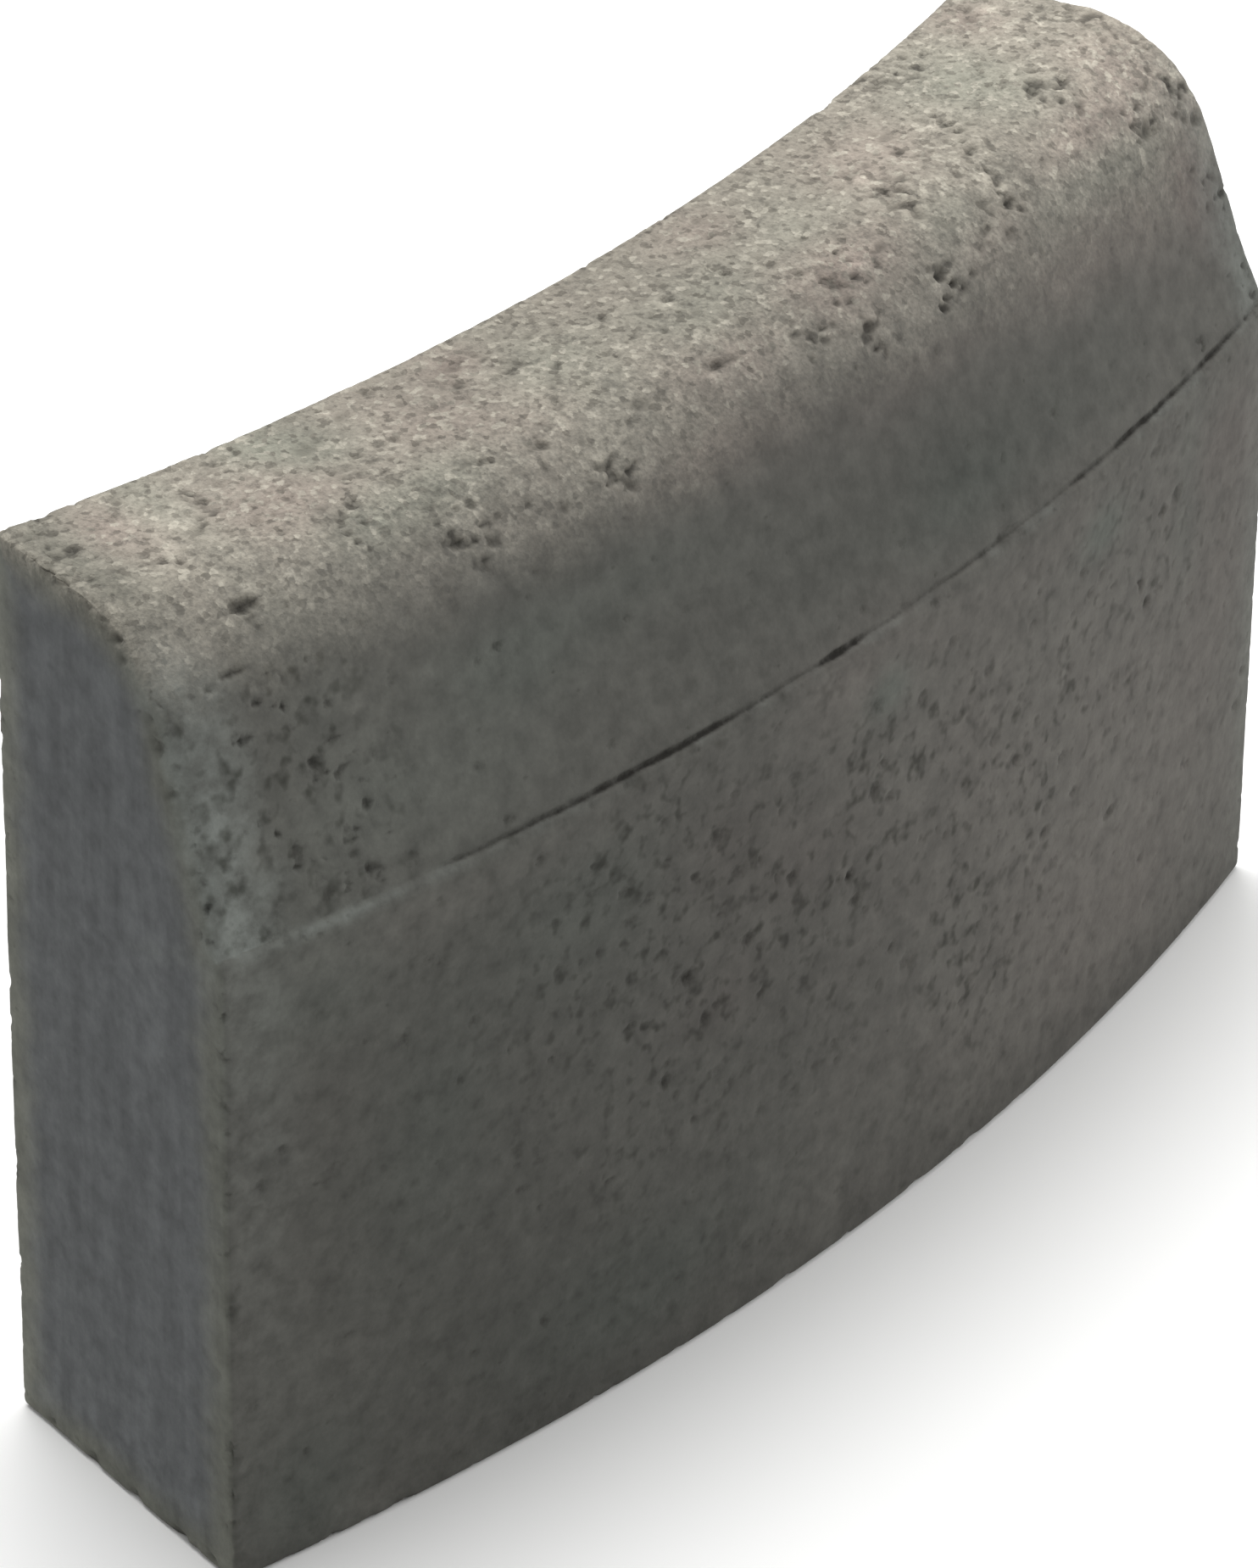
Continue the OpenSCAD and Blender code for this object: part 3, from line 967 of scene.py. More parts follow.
        # The pale, sandy trowelled skin reaches further down the nose towards the far end
        places, reaches = zip(*self.marks.pale_reach)
        pale = 1.0 - smoothstep(34.0, np.interp(along, places, reaches), girth + wobble)
        pale[girth >= NOWHERE] = 0.0
        back_run = (skin.zone == Zone.BACK.value) * smoothstep(293.0, 299.5, up)
        pale = np.maximum(pale, 0.8 * back_run) * skin.on_side
        warmth = (0.25 + 0.25 * pale) * noise.layers(skin.points + 210.0, 42.0, 3)
        tone = 1.0 + 0.07 * noise.layers(skin.points + 120.0, 48.0, 3)
        tone += pale * 0.0008 * np.maximum(along, 0.0)
        for row in self.marks.tone_patches:
            mark = TonePatch(*row)
            spread = ((along - mark.along) / mark.reach_along) ** 2
            spread += ((girth - mark.girth) / mark.reach_girth) ** 2
            near = spread < 9.0
            weight = np.exp(-spread[near]) * skin.on_side[near]
            warmth[near] += mark.warmth * weight
            tone[near] += mark.tone * weight
        skin.shows.update(pale=pale, warmth=warmth, tone=tone + self._end_tone(skin))

    def _end_tone(self, skin: Skin) -> np.ndarray:
        """Lightens the struck ends at their foot and rear edge, and darkens their middle and head.

        Args:
            skin: The surface.

        Returns:
            What to add to each point's tone.
        """
        noise = self.noise
        up = skin.points[:, 2]
        struck = skin.zone == Zone.END.value
        blotches = smoothstep(0.0, 0.5, noise.layers(skin.points + 340.0, 26.0, 3))
        rear = np.exp(-((skin.points[:, 1] - 4.0) / 9.0) ** 2) * (struck | (skin.end_gap < 3.0))
        return (
            struck * 0.26 * np.exp(-(up / 34.0) ** 2)
            - struck * 0.05 * np.exp(-((up - 130.0) / 70.0) ** 2)
            - struck * 0.16 * blotches * smoothstep(180.0, 250.0, up)
            + rear * (0.22 + 0.26 * noise.layers(skin.points + 150.0, 20.0, 2))
        )

    def _rub(self, skin: Skin) -> None:
        """Works out where the skin is rubbed light at edges, paints the highlight along the arris
        under the seam, and works out where the struck ends are cool.

        Args:
            skin: The surface.
        """
        noise = self.noise
        along, up = skin.points[:, 0], skin.points[:, 2]
        girth = skin.girth
        ragged = skin.end_gap + 7.0 * noise.layers(skin.points + 60.0, 16.0, 2)
        near_side = smoothstep(30.0, 9.0, ragged)
        struck = skin.zone == Zone.END.value
        near_side = np.where(struck, 0.8 * smoothstep(9.0, 1.0, ragged), near_side)
        side = np.where(along < 0.0, 1.0, 0.5)
        head = smoothstep(56.0, 84.0, girth) * (girth < NOWHERE)
        up_face = np.clip(up / self.profile.arris_height, 0.0, 1.0)
        low = np.where(skin.seam < 0.0, 0.35 * up_face, 1.0)
        worn = 0.9 * near_side * side * head * low
        # Painted highlight: a light line along the rounded arris just under the seam, broken up by
        # noise and stronger towards the near end, goes into the worn share
        highlight_strength = 0.1 + 0.6 * noise.layers(skin.points + 9.0, 12.0, 3)
        highlight_strength = np.clip(highlight_strength + 0.35 * smoothstep(-148.0, -172.0, along), 0.0, 1.0)
        arris_highlight = np.exp(-((skin.seam + 2.0) / 2.2) ** 2) * highlight_strength * (1.0 - 0.7 * near_side)
        skin.shows["worn"] = np.clip(worn + arris_highlight, 0.0, 1.0)
        gap = skin.end_gap + 5.0 * noise.layers(skin.points + 84.0, 22.0, 3)
        skin.shows["end_skin"] = smoothstep(0.35, 0.95, np.abs(skin.normals[:, 0]))
        skin.shows["cool"] = struck * smoothstep(3.0, 17.0, gap)

    def _pore(self, skin: Skin) -> None:
        """Works out how thickly the soft specks round fine pores lie.

        Args:
            skin: The surface.
        """
        along, up = skin.points[:, 0], skin.points[:, 2]
        face = (skin.zone == Zone.FACE.value) | (skin.zone == Zone.BACK.value)
        near_end = smoothstep(-158.0, -182.0, along) * smoothstep(80.0, 92.0, skin.girth)
        pored = np.where(face, 0.30, 0.18 + 0.72 * near_end)
        for middle, height, reach in self.marks.pore_fields:
            spread = ((along - middle) ** 2 + (up - height) ** 2) / reach ** 2
            pored += face * 0.56 * np.exp(-spread)
        pored *= 1.0 + 0.8 * self.noise.layers(skin.points + 31.0, 38.0, 2)
        skin.shows["pored"] = np.clip(pored, 0.0, 1.0)

    def _on_girth(self, girth: float) -> tuple[float, float]:
        """Finds where a girth lies on the section.

        Args:
            girth: Distance from the back of the top, over the nose and down.

        Returns:
            The place as (out, up).
        """
        shape = self.profile
        face, ledge, batter, nose = self._head_lengths
        if girth <= shape.flat_width:
            return girth, shape.height
        if girth <= shape.flat_width + nose:
            turn = math.pi / 2.0 - (girth - shape.flat_width) / shape.nose_radius
            direction = np.array([math.cos(turn), math.sin(turn)])
            place = shape.nose_centre + shape.nose_radius * direction
            return float(place[0]), float(place[1])
        if girth <= shape.flat_width + nose + batter:
            share = (girth - shape.flat_width - nose) / batter
            place = shape.batter_top + share * (shape.batter_foot - shape.batter_top)
            return float(place[0]), float(place[1])
        return shape.thickness, self._girth_of_foot - girth

    def _strew(self, skin: Skin) -> None:
        """Sinks the pits and paints shade into them: first those with a place of their own, then
        those strewn by chance.

        Args:
            skin: The surface.
        """
        rng = np.random.default_rng(self.seed)
        half = self.profile.half_length
        holes: list[tuple[float, ...]] = []
        for row in self.marks.pits:
            pit = Pit(*row)
            holes.append((pit.along, *self._on_girth(pit.girth), pit.radius, pit.depth, pit.dark,
                          pit.stretch))
        for along, up, radius, *rest in self.marks.face_pits:
            holes.append((along, self.profile.thickness, up, 1.12 * radius, *rest))
        for row in self.marks.chips:
            chip = Chip(*row)
            holes.append((-half + 0.5, chip.out, chip.up, chip.radius, chip.depth, chip.dark, 1.0))
        for spread in self.marks.spreads:
            members = np.flatnonzero(skin.zone == spread.zone.value)
            for pick in rng.choice(members, spread.count, replace=False):
                size = rng.power(0.6)
                radius = spread.smallest + (spread.largest - spread.smallest) * size
                depth = spread.depth * (0.45 + 0.55 * size)
                dark = spread.dark * rng.uniform(0.3, 1.0)
                holes.append((*skin.points[pick], radius, depth, dark, rng.uniform(0.8, 1.6)))
        cavity_shade = np.zeros(len(skin.points))
        order = np.argsort(skin.points[:, 0])
        sorted_along = skin.points[order, 0]
        for number, (along, out, up, radius, depth, dark, stretch) in enumerate(holes):
            reach = radius * max(stretch, 1.0) * 1.7
            first, final = np.searchsorted(sorted_along, (along - reach, along + reach))
            near = order[first:final]
            offset = skin.points[near] - np.array([along, out, up])
            inside = np.abs(offset[:, 1:]).max(axis=1) < reach
            near, offset = near[inside], offset[inside]
            if not len(near):
                continue
            offset[:, 0] /= stretch
            rough = self.noise.layers(skin.points[near] + 7.0 * number, 1.2 * radius, 3)
            ragged = 1.0 + 1.1 * rough
            spread = np.linalg.norm(offset, axis=1) / (radius * np.maximum(ragged, 0.3))
            bowl = np.clip(1.0 - spread * spread, 0.0, 1.0) ** 0.85
            skin.relief[near] = np.maximum(skin.relief[near], depth * bowl)
            # Painted shade: each hole's colour is darkened towards its middle
            soft = np.exp(-1.8 * spread * spread)
            cavity_shade[near] = np.maximum(cavity_shade[near], dark * soft)
        skin.shows["cavity_shade"] = cavity_shade

    def _crumble(self, skin: Skin) -> None:
        """Opens crevices in the skin where it has crumbled, and paints shade into them.

        Args:
            skin: The surface.
        """
        noise = self.noise
        open_skin = smoothstep(-0.1, 0.5, noise.layers(skin.points + 500.0, 30.0, 2))
        rough = 0.55 * skin.shows["pale"] * open_skin
        rough = np.maximum(rough, 0.35 * np.exp(-skin.end_gap / 5.0))
        for row in self.marks.crumbled:
            patch = Crumbled(*row)
            spread = (skin.points[:, 0] - patch.along) ** 2 + (skin.girth - patch.girth) ** 2
            strength = patch.strength * skin.on_side
            rough = np.maximum(rough, strength * np.exp(-spread / patch.radius ** 2))
        places = skin.points * np.array([0.72, 1.0, 1.0])
        broken = noise.layers(places + 650.0, 4.0, 3)
        opens_at = 0.30 - 0.34 * rough
        crevice = np.clip((broken - opens_at) / 0.26, 0.0, 1.0)
        crumbs = smoothstep(0.0, 0.45, -broken)
        depth = np.clip(rough, 0.0, 1.0)
        skin.relief += depth * (1.5 * crevice + 0.25 * (1.0 - crumbs))
        # Painted shade: the open crevices are darkened
        skin.shows["cavity_shade"] = np.maximum(skin.shows["cavity_shade"], np.sqrt(depth) * crevice * 0.95)
        skin.shows["crumbs"] = rough * crumbs

    def _roughen(self, skin: Skin) -> None:
        """Adds the cast waviness, the grit and the seam, and paints a shadow into the seam's
        groove.

        Args:
            skin: The surface.
        """
        noise = self.noise
        places = skin.points
        pale = skin.shows["pale"]
        seen = np.isin(skin.zone, (Zone.TOP.value, Zone.HEAD.value, Zone.FACE.value)).astype(float)
        wave = 0.20 * (1.0 + noise.layers(places, 95.0, 2))
        lumps = (0.05 + 0.24 * pale) * (1.0 + noise.layers(places + 300.0, 17.0, 2)) * 0.6
        grit = 0.7 * (1.0 + noise.layers(places + 700.0, 4.4, 2))
        skin.relief += wave + lumps + (0.02 + 0.03 * seen + 0.20 * pale) * grit
        along = places[:, 0]
        marks = np.array(self.marks.seam_marks)
        line = np.column_stack([along, np.zeros_like(along), np.zeros_like(along)])
        broken = 0.8 + 0.5 * noise.layers(line + 11.0, 6.0, 2)
        opening = np.clip(np.interp(along, marks[:, 0], marks[:, 1]) * broken, 0.0, 1.0)
        opening *= skin.on_side
        wander = 0.4 * noise.layers(line + 50.0, 11.0, 2)
        width = self.seam_half_width * (0.6 + 0.6 * opening)
        groove = np.exp(-((skin.seam + 0.2 + wander) / width) ** 2) * opening
        skin.relief += self.seam_depth * groove
        # Painted shadow: the seam's groove is darkened
        skin.shows["cavity_shade"] = np.maximum(skin.shows["cavity_shade"], np.clip(1.5 * groove, 0.0, 1.0))

    def _mesh(self, name: str, points: np.ndarray, faces: np.ndarray) -> bpy.types.Object:
        """Makes a mesh object from arrays.

        Args:
            name: Name of the object and its mesh.
            points: Places in metres.
            faces: Point numbers of each face.

        Returns:
            The object, linked to the scene.
        """
        mesh = bpy.data.meshes.new(name)
        sides = faces.shape[1]
        mesh.vertices.add(len(points))
        mesh.vertices.foreach_set("co", points.astype(np.float32).ravel())
        mesh.loops.add(faces.size)
        mesh.loops.foreach_set("vertex_index", faces.astype(np.int32).ravel())
        mesh.polygons.add(len(faces))
        mesh.polygons.foreach_set("loop_start", np.arange(0, faces.size, sides, dtype=np.int32))
        mesh.update(calc_edges=True)
        mesh.validate()
        stone = bpy.data.objects.new(name, mesh)
        bpy.context.scene.collection.objects.link(stone)
        return stone

    def _thin(self, dense: bpy.types.Object, skin: Skin) -> bpy.types.Object:
        """Thins the dense mesh where it is flat, and keeps what each point shows.

        Args:
            dense: The dense mesh.
            skin: What each of its points shows.

        Returns:
            The finished stone.
        """
        triangles = 2 * len(dense.data.polygons)
        thinning = dense.modifiers.new("thin the flats", "DECIMATE")
        thinning.ratio = min(1.0, self.triangle_budget / triangles)
        thinning.use_collapse_triangulate = True
        evaluated = dense.evaluated_get(bpy.context.evaluated_depsgraph_get())
        mesh = bpy.data.meshes.new_from_object(evaluated)
        mesh.name = "kerb_stone_casting"
        before = np.zeros(len(dense.data.vertices) * 3, np.float32)
        dense.data.vertices.foreach_get("co", before)
        tree = KDTree(len(dense.data.vertices))
        for number, place in enumerate(before.reshape(-1, 3).tolist()):
            tree.insert(place, number)
        tree.balance()
        after = np.zeros(len(mesh.vertices) * 3, np.float32)
        mesh.vertices.foreach_get("co", after)
        after = after.reshape(-1, 3)
        low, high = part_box(CAD_NODE)
        np.clip(after, np.array(low), np.array(high), out=after)
        mesh.vertices.foreach_set("co", after.ravel())
        source = np.array([tree.find(place)[1] for place in after.tolist()])
        for name, values in skin.shows.items():
            layer = mesh.attributes.new(name, "FLOAT", "POINT")
            layer.data.foreach_set("value", values[source].astype(np.float32))
        mesh.polygons.foreach_set("use_smooth", np.ones(len(mesh.polygons), dtype=bool))
        mesh.update()
        stone = bpy.data.objects.new("kerb_stone_casting", mesh)
        bpy.context.scene.collection.objects.link(stone)
        bpy.data.objects.remove(dense)
        return stone


@dataclass(frozen=True)
class CastConcrete:
    """Vibrated precast concrete, cast in a steel mould and trowelled off on top.

    The mould leaves the face and the batter close-skinned, dark and dull. The trowelled top has
    lost its cement skin, so pale sand shows, with grit, crumbs and holes between, whose dark is
    painted shade, as is that of the crevices and the seam. The struck end is cooler. It is dry and
    rough, so nothing on it shines.
    """

    skin_cool: str = "#4E504B"
    skin_warm: str = "#534F4B"
    end_cool: str = "#525455"
    end_olive: str = "#5A5B54"
    top_green: str = "#818276"
    top_pink: str = "#8C8178"
    # Rubbed edges, and the painted highlight along the arris under the seam
    worn: str = "#6A6E6A"
    crumb: str = "#A9A497"
    grit_dark: str = "#4A463F"
    damp: str = "#8A8B82"
    # Colour of the painted shade in holes, crevices and the seam's groove
    hole: str = "#1F1D19"
    specular: float = 0.3
    sand_mm: float = 2.2
    grain_mm: float = 1.5
    mottle_mm: float = 8.0
    speck_mm: float = 5.0


class NodeSheet:
    """A material's node tree, with one short way to add a node."""

    def __init__(self, name: str) -> None:
        """Makes the material and clears its tree.

        Args:
            name: Name of the material.
        """
        self.material = bpy.data.materials.new(name)
        self.material.use_nodes = True
        self.tree = self.material.node_tree
        self.tree.nodes.clear()

    def add(self, kind: str, inputs: dict | None = None, output: str | int = 0,
            **settings: object) -> bpy.types.NodeSocket | None:
        """Adds a node, sets its properties, and fills or links its inputs.

        Args:
            kind: Blender's name for the type of node, without its "ShaderNode".
            inputs: Value, hex colour or output socket for each input, by its name or number.
            output: Name or number of the output to hand back.
            **settings: Properties of the node.

        Returns:
            The chosen output, or None for a node that has none.
        """
        node = self.tree.nodes.new("ShaderNode" + kind)
        for name, value in settings.items():
            setattr(node, name, value)
        for name, value in (inputs or {}).items():
            if isinstance(value, bpy.types.NodeSocket):
                self.tree.links.new(value, node.inputs[name])
            elif isinstance(value, str):
                node.inputs[name].default_value = linear_rgba(value)
            else:
                node.inputs[name].default_value = value
        return node.outputs[output] if len(node.outputs) else None


class ConcreteSheet(NodeSheet):
    """Lays out the stone's one material from its finish and from what each point shows."""

    def __init__(self, finish: CastConcrete) -> None:
        """Starts the sheet.

        Args:
            finish: Colours, sizes and gloss of the concrete.
        """
        super().__init__("vibrated_precast_concrete")
        self.finish = finish

    def build(self) -> bpy.types.Material:
        """Lays out the colour, the grain and the fine relief.

        Returns:
            The material.
        """
        finish = self.finish
        place = self.add("TexCoord", output="Object")
        grain = self.add("TexNoise", {
            "Vector": place, "Scale": 1.0 / (finish.grain_mm * M_PER_MM), "Detail": 2.0,
            "Roughness": 0.6,
        })
        # Grains of sand are crooked, so their cells are pushed about by the finer grain
        crooked = self.add("VectorMath", {
            0: grain.node.outputs["Color"], 1: (0.0018, 0.0018, 0.0018), 2: place,
        }, operation="MULTIPLY_ADD")
        sand = self.add("TexVoronoi", {
            "Vector": crooked, "Scale": 1.0 / (finish.sand_mm * M_PER_MM), "Randomness": 1.0,
            "Smoothness": 0.5,
        }, "Color", feature="SMOOTH_F1")
        pick = self.add("SeparateColor", {"Color": sand})
        mottle = self.add("TexNoise", {
            "Vector": place, "Scale": 1.0 / (finish.mottle_mm * M_PER_MM), "Detail": 4.0,
            "Roughness": 0.62,
        })
        pale = self.add("Attribute", attribute_name="pale", output="Fac")
        cavity_shade = self.add("Attribute", attribute_name="cavity_shade", output="Fac")
        colour = self._skin_colour(place, grain, mottle)
        top = self._top_colour(pick, grain, mottle)
        # Grains break through the skin one by one, so the pale top has a ragged border
        share = self.add("Math", {0: grain, 1: 0.6, 2: 0.20}, operation="MULTIPLY_ADD")
        share = self.add("Math", {0: mottle, 1: 1.0, 2: share}, operation="MULTIPLY_ADD")
        share = self.add("Math", {0: share, 1: pale}, operation="MULTIPLY")
        share = self.add("MapRange", {"Value": share, "From Min": 0.02, "From Max": 0.92})
        colour = self.add("Mix", {0: share, 6: colour, 7: top}, 2, data_type="RGBA")
        tone = self.add("Attribute", attribute_name="tone", output="Fac")
        colour = self.add("VectorMath", {0: colour, "Scale": tone}, operation="SCALE")
        # Painted shade of pits, chips, crevices and the seam's groove pulls the colour towards the
        # hole colour; the fine grain's peaks add small dark specks
        depth = self.add("Math", {0: grain, 1: 0.9, 2: -0.45}, operation="MULTIPLY_ADD")
        depth = self.add("Math", {0: depth, 1: cavity_shade}, operation="ADD")
        depth = self.add("MapRange", {
            "Value": depth, "From Min": 0.12, "From Max": 0.95, "To Max": 0.9,
        })
        colour = self.add("Mix", {0: depth, 6: colour, 7: finish.hole}, 2, data_type="RGBA")
        dullness = self.add("MapRange", {"Value": grain, "To Min": 0.80, "To Max": 0.96})
        shader = self.add("BsdfPrincipled", {
            "Base Color": colour,
            "Roughness": dullness,
            "Specular IOR Level": finish.specular,
            "Normal": self._fine_relief(pick, grain, mottle, pale),
        })
        self.add("OutputMaterial", {"Surface": shader})
        return self.material

    def _skin_colour(self, place: bpy.types.NodeSocket, grain: bpy.types.NodeSocket,
                     mottle: bpy.types.NodeSocket) -> bpy.types.NodeSocket:
        """Colours the close, dark skin that the mould leaves, the struck ends and the worn edges,
        and paints the highlight along the arris under the seam.

        Args:
            place: Place on the stone.
            grain: Fine grain.
            mottle: Coarser mottling.

        Returns:
            The colour.
        """
        finish = self.finish
        warmth = self.add("Attribute", attribute_name="warmth", output="Fac")
        warm = self.add("MapRange", {"Value": warmth, "From Min": -1.0, "From Max": 1.0})
        skin = self.add("Mix", {0: warm, 6: finish.skin_cool, 7: finish.skin_warm}, 2,
                        data_type="RGBA")
        # Water and mould oil ran down the struck end and left it faintly streaked
        stretched = self.add("VectorMath", {0: place, 1: (60.0, 160.0, 16.0)}, operation="MULTIPLY")
        streaks = self.add("TexNoise", {"Vector": stretched, "Scale": 1.0, "Detail": 3.0})
        cool = self.add("Attribute", attribute_name="cool", output="Fac")
        end = self.add("Mix", {0: cool, 6: finish.end_olive, 7: finish.end_cool}, 2,
                       data_type="RGBA")
        shade = self.add("MapRange", {
            "Value": streaks, "From Min": 0.3, "From Max": 0.7, "To Min": 0.87, "To Max": 1.12,
        })
        end = self.add("VectorMath", {0: end, "Scale": shade}, operation="SCALE")
        end_skin = self.add("Attribute", attribute_name="end_skin", output="Fac")
        colour = self.add("Mix", {0: end_skin, 6: skin, 7: end}, 2, data_type="RGBA")
        # The worn share lightens rubbed edges and paints the highlight along the arris under the
        # seam
        worn = self.add("Attribute", attribute_name="worn", output="Fac")
        patchy = self.add("MapRange", {
            "Value": mottle, "From Min": 0.3, "From Max": 0.62, "To Min": 0.45, "To Max": 0.9,
        })
        worn = self.add("Math", {0: worn, 1: patchy}, operation="MULTIPLY")
        colour = self.add("Mix", {0: worn, 6: colour, 7: finish.worn}, 2, data_type="RGBA")
        soft = self.add("MapRange", {
            "Value": mottle, "From Min": 0.3, "From Max": 0.7, "To Min": 0.80, "To Max": 1.21,
        })
        fine = self.add("MapRange", {
            "Value": grain, "From Min": 0.25, "From Max": 0.75, "To Min": 0.94, "To Max": 1.08,
        })
        shade = self.add("Math", {0: soft, 1: fine}, operation="MULTIPLY")
        colour = self.add("VectorMath", {0: colour, "Scale": shade}, operation="SCALE")
        return self._specks(colour, place, end_skin)

    def _specks(self, colour: bpy.types.NodeSocket, place: bpy.types.NodeSocket,
                end_skin: bpy.types.NodeSocket) -> bpy.types.NodeSocket:
        """Dots the skin with the soft, damp-looking specks that lie round its pores.

        Args:
            colour: Colour of the skin.
            place: Place on the stone.
            end_skin: How much the surface is a struck end, which has fewer pores.

        Returns:
            The colour with its specks.
        """
        finish = self.finish
        speckle = self.add("TexNoise", {
            "Vector": place, "Scale": 1.0 / (finish.speck_mm * M_PER_MM), "Detail": 1.5,
            "Roughness": 0.5,
        })
        pored = self.add("Attribute", attribute_name="pored", output="Fac")
        pored = self.add("Math", {0: pored, 1: 0.8}, operation="MULTIPLY")
        strength = self.add("MapRange", {"Value": end_skin, "To Min": pored, "To Max": 0.12})
        spot = self.add("MapRange", {
            "Value": speckle, "From Min": 0.53, "From Max": 0.74, "To Max": strength,
        })
        return self.add("Mix", {0: spot, 6: colour, 7: finish.damp}, 2, data_type="RGBA",
                        blend_type="MULTIPLY")

    def _top_colour(self, pick: bpy.types.NodeSocket, grain: bpy.types.NodeSocket,
                    mottle: bpy.types.NodeSocket) -> bpy.types.NodeSocket:
        """Colours the open, sandy surface of the trowelled top.

        Args:
            pick: Chance value of each grain of sand.
            grain: Fine grain.
            mottle: Coarser mottling.

        Returns:
            The colour.
        """
        finish = self.finish
        warmth = self.add("Attribute", attribute_name="warmth", output="Fac")
        warm = self.add("MapRange", {"Value": warmth, "From Min": -1.2, "From Max": 1.2})
        top = self.add("Mix", {0: warm, 6: finish.top_green, 7: finish.top_pink}, 2,
                       data_type="RGBA")
        light = self.add("MapRange", {
            "Value": pick, "From Min": 0.68, "From Max": 0.88, "To Max": 0.6,
        })
        top = self.add("Mix", {0: light, 6: top, 7: finish.crumb}, 2, data_type="RGBA")
        dark = self.add("MapRange", {
            "Value": pick.node.outputs["Green"], "From Min": 0.70, "From Max": 0.88, "To Max": 0.55,
        })
        top = self.add("Mix", {0: dark, 6: top, 7: finish.grit_dark}, 2, data_type="RGBA")
        crumbs = self.add("Attribute", attribute_name="crumbs", output="Fac")
        crumbs = self.add("Math", {0: crumbs, 1: 0.7}, operation="MULTIPLY")
        top = self.add("Mix", {0: crumbs, 6: top, 7: finish.crumb}, 2, data_type="RGBA")
        soft = self.add("MapRange", {
            "Value": mottle, "From Min": 0.3, "From Max": 0.7, "To Min": 0.86, "To Max": 1.12,
        })
        fine = self.add("MapRange", {
            "Value": grain, "From Min": 0.25, "From Max": 0.75, "To Min": 0.74, "To Max": 1.26,
        })
        shade = self.add("Math", {0: soft, 1: fine}, operation="MULTIPLY")
        return self.add("VectorMath", {0: top, "Scale": shade}, operation="SCALE")

    def _fine_relief(self, pick: bpy.types.NodeSocket, grain: bpy.types.NodeSocket,
                     mottle: bpy.types.NodeSocket, pale: bpy.types.NodeSocket
                     ) -> bpy.types.NodeSocket:
        """Raises the sand that is too fine for the mesh: coarse on top, close on the faces.

        Args:
            pick: Chance value of each grain of sand.
            grain: Fine grain.
            mottle: Coarser mottling.
            pale: How sandy the surface is.

        Returns:
            The shading normal.
        """
        height = self.add("Math", {0: pick, 1: 0.25, 2: grain}, operation="MULTIPLY_ADD")
        height = self.add("Math", {0: mottle, 1: 0.8, 2: height}, operation="MULTIPLY_ADD")
        reach = self.add("MapRange", {"Value": pale, "To Min": 0.14, "To Max": 0.95})
        height = self.add("Math", {0: height, 1: reach}, operation="MULTIPLY")
        return self.add("Bump", {"Height": height, "Strength": 0.8, "Distance": 0.8 * M_PER_MM})


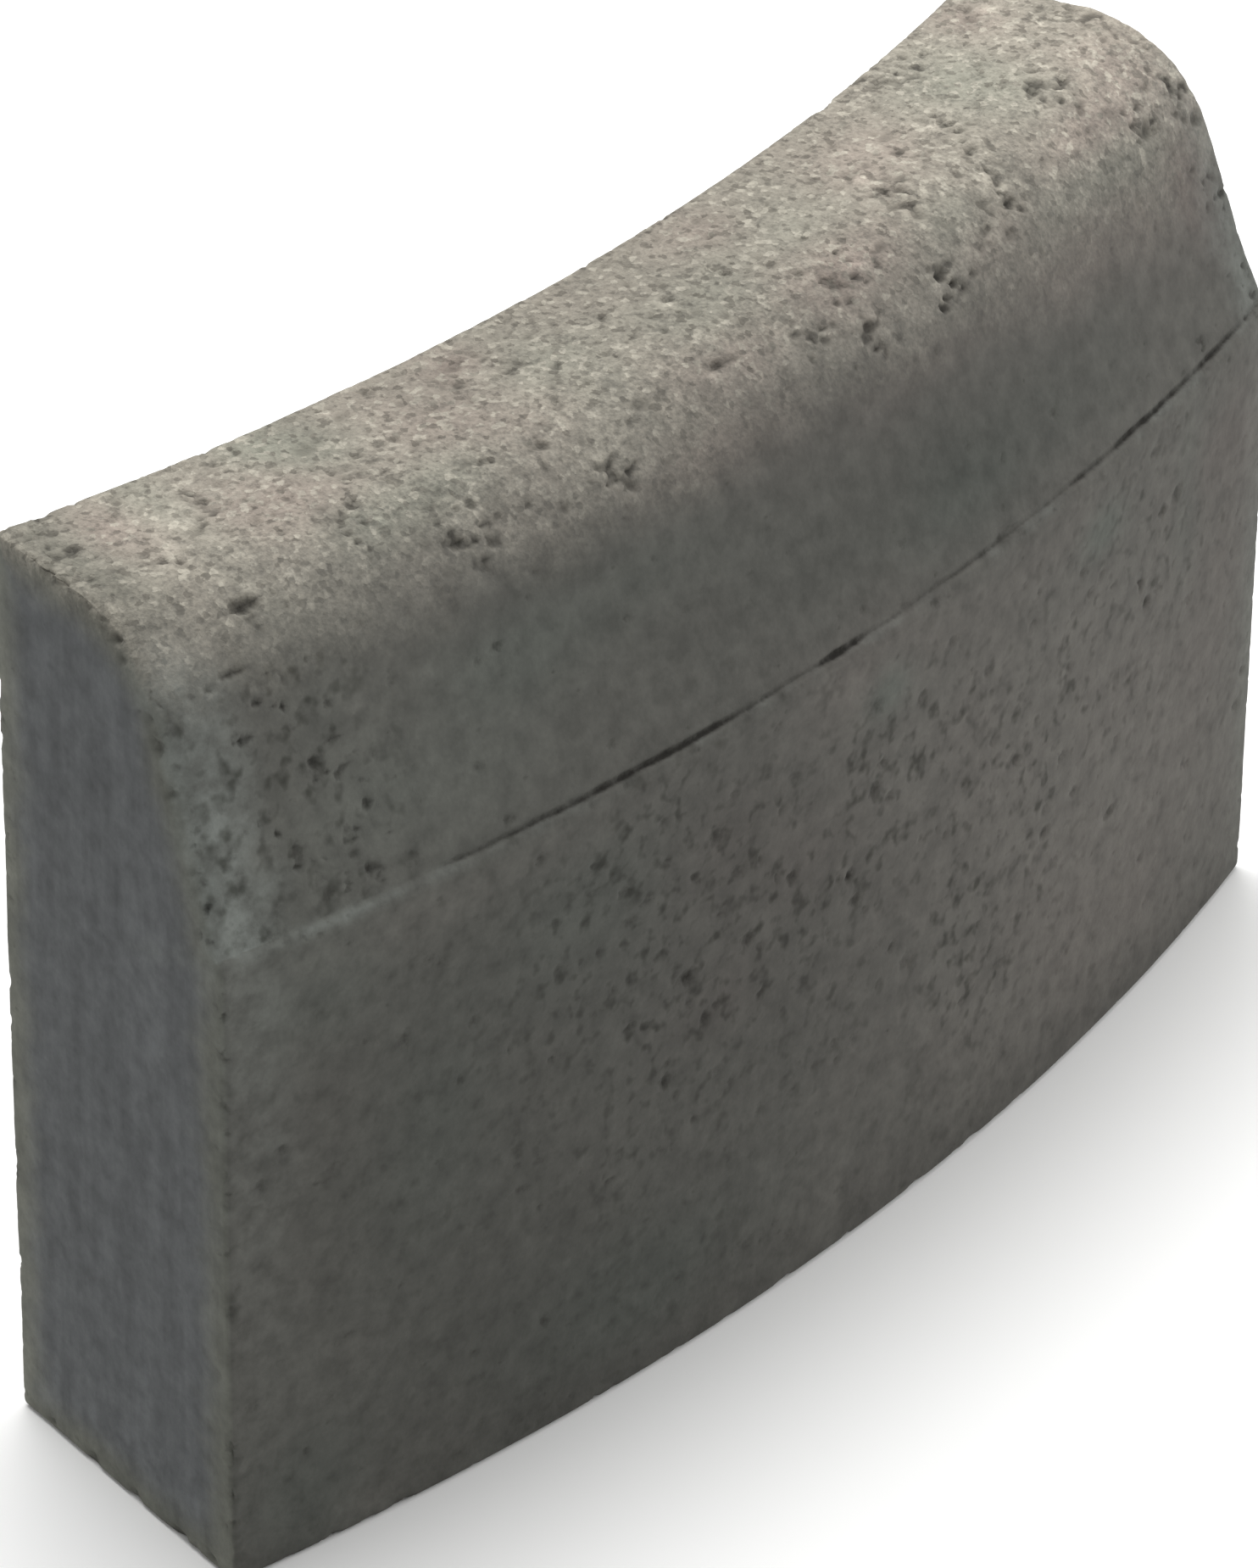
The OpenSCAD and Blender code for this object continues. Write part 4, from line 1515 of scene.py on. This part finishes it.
@dataclass
class Studio:
    """A plain pale floor, soft overhead light, and the camera."""

    profile: Profile
    azimuth: float = -51.445
    elevation: float = 32.03
    roll: float = 0.73
    distance: float = 2.4043
    lens_mm: float = 185.0
    aim: tuple[float, float, float] = (-0.0243, 0.0, 0.14805)
    floor_size: float = 14.0
    sky_strength: float = 0.53
    softboxes: tuple[tuple[str, tuple[float, float, float], float, float], ...] = (
        # Name, place, side in metres, watts
        ("overhead", (0.35, 0.9, 3.2), 2.4, 105.0),
        ("window", (2.4, -2.0, 1.6), 1.6, 42.0),
    )

    def build(self) -> None:
        """Sets up everything that isn't the stone."""
        self._floor()
        self._light()
        self._camera()

    def _floor(self) -> None:
        """Lays the floor that the stone stands on."""
        half = self.floor_size / 2.0
        mesh = bpy.data.meshes.new("studio_floor")
        corners = [(-half, -half, 0.0), (half, -half, 0.0), (half, half, 0.0), (-half, half, 0.0)]
        mesh.from_pydata(corners, [], [(0, 1, 2, 3)])
        floor = bpy.data.objects.new("studio_floor", mesh)
        bpy.context.scene.collection.objects.link(floor)
        sheet = NodeSheet("studio_white")
        shader = sheet.add("BsdfPrincipled", {
            "Base Color": "#F8F8F7",
            "Roughness": 0.95,
            "Specular IOR Level": 0.1,
        })
        sheet.add("OutputMaterial", {"Surface": shader})
        mesh.materials.append(sheet.material)

    def _light(self) -> None:
        """Lights the stone from above, with a soft sky all round."""
        scene = bpy.context.scene
        scene.view_settings.view_transform = "Standard"
        world = bpy.data.worlds.new("studio_sky")
        world.use_nodes = True
        background = world.node_tree.nodes["Background"]
        background.inputs["Color"].default_value = linear_rgba("#FFFFFF")
        background.inputs["Strength"].default_value = self.sky_strength
        scene.world = world
        for softbox in self.softboxes:
            self._hang(*softbox)

    def _hang(self, name: str, place: tuple[float, float, float], size: float,
              watts: float) -> None:
        """Hangs a square soft light that faces the middle of the stone.

        Args:
            name: Name of the light.
            place: Where it hangs, in metres.
            size: Length of its side, in metres.
            watts: Its power.
        """
        lamp = bpy.data.lights.new(name, "AREA")
        lamp.size = size
        lamp.energy = watts
        light = bpy.data.objects.new(name, lamp)
        light.location = place
        aim = Vector(self.aim) - Vector(place)
        light.rotation_euler = aim.to_track_quat("-Z", "Y").to_euler()
        bpy.context.scene.collection.objects.link(light)

    def _camera(self) -> None:
        """Stands the camera off to the left of the convex face, looking down."""
        azimuth = math.radians(self.azimuth)
        elevation = math.radians(self.elevation)
        roll = math.radians(self.roll)
        right = Vector((math.cos(azimuth), math.sin(azimuth), 0.0))
        forward = Vector((
            -math.sin(azimuth) * math.cos(elevation),
            math.cos(azimuth) * math.cos(elevation),
            -math.sin(elevation),
        ))
        up = right.cross(forward)
        axes = Matrix((
            right * math.cos(roll) + up * math.sin(roll),
            up * math.cos(roll) - right * math.sin(roll),
            -forward,
        )).transposed()
        lens = bpy.data.cameras.new("camera")
        lens.lens = self.lens_mm
        lens.clip_start = 0.05
        lens.clip_end = 50.0
        camera = bpy.data.objects.new("camera", lens)
        camera.matrix_world = Matrix.Translation(Vector(self.aim) - forward * self.distance) \
            @ axes.to_4x4()
        bpy.context.scene.collection.objects.link(camera)
        bpy.context.scene.camera = camera


def main() -> None:
    """Builds the stone and the studio."""
    logging.basicConfig(level=logging.INFO, format="%(name)s: %(message)s")
    low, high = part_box(CAD_NODE)
    profile = Profile.from_box(low, high, face_radius=FACE_RADIUS_MM)
    log.info("thickness %.2f mm, half angle %.3f degrees",
             profile.thickness, math.degrees(profile.half_angle))
    stone = KerbStone(profile).build()
    stone.data.materials.append(ConcreteSheet(CastConcrete()).build())
    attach(stone, BODY)
    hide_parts(CAD_NODE)
    log.info("%s: %d triangles", stone.name, len(stone.data.polygons))
    Studio(profile).build()


if __name__ == "__main__":
    main()
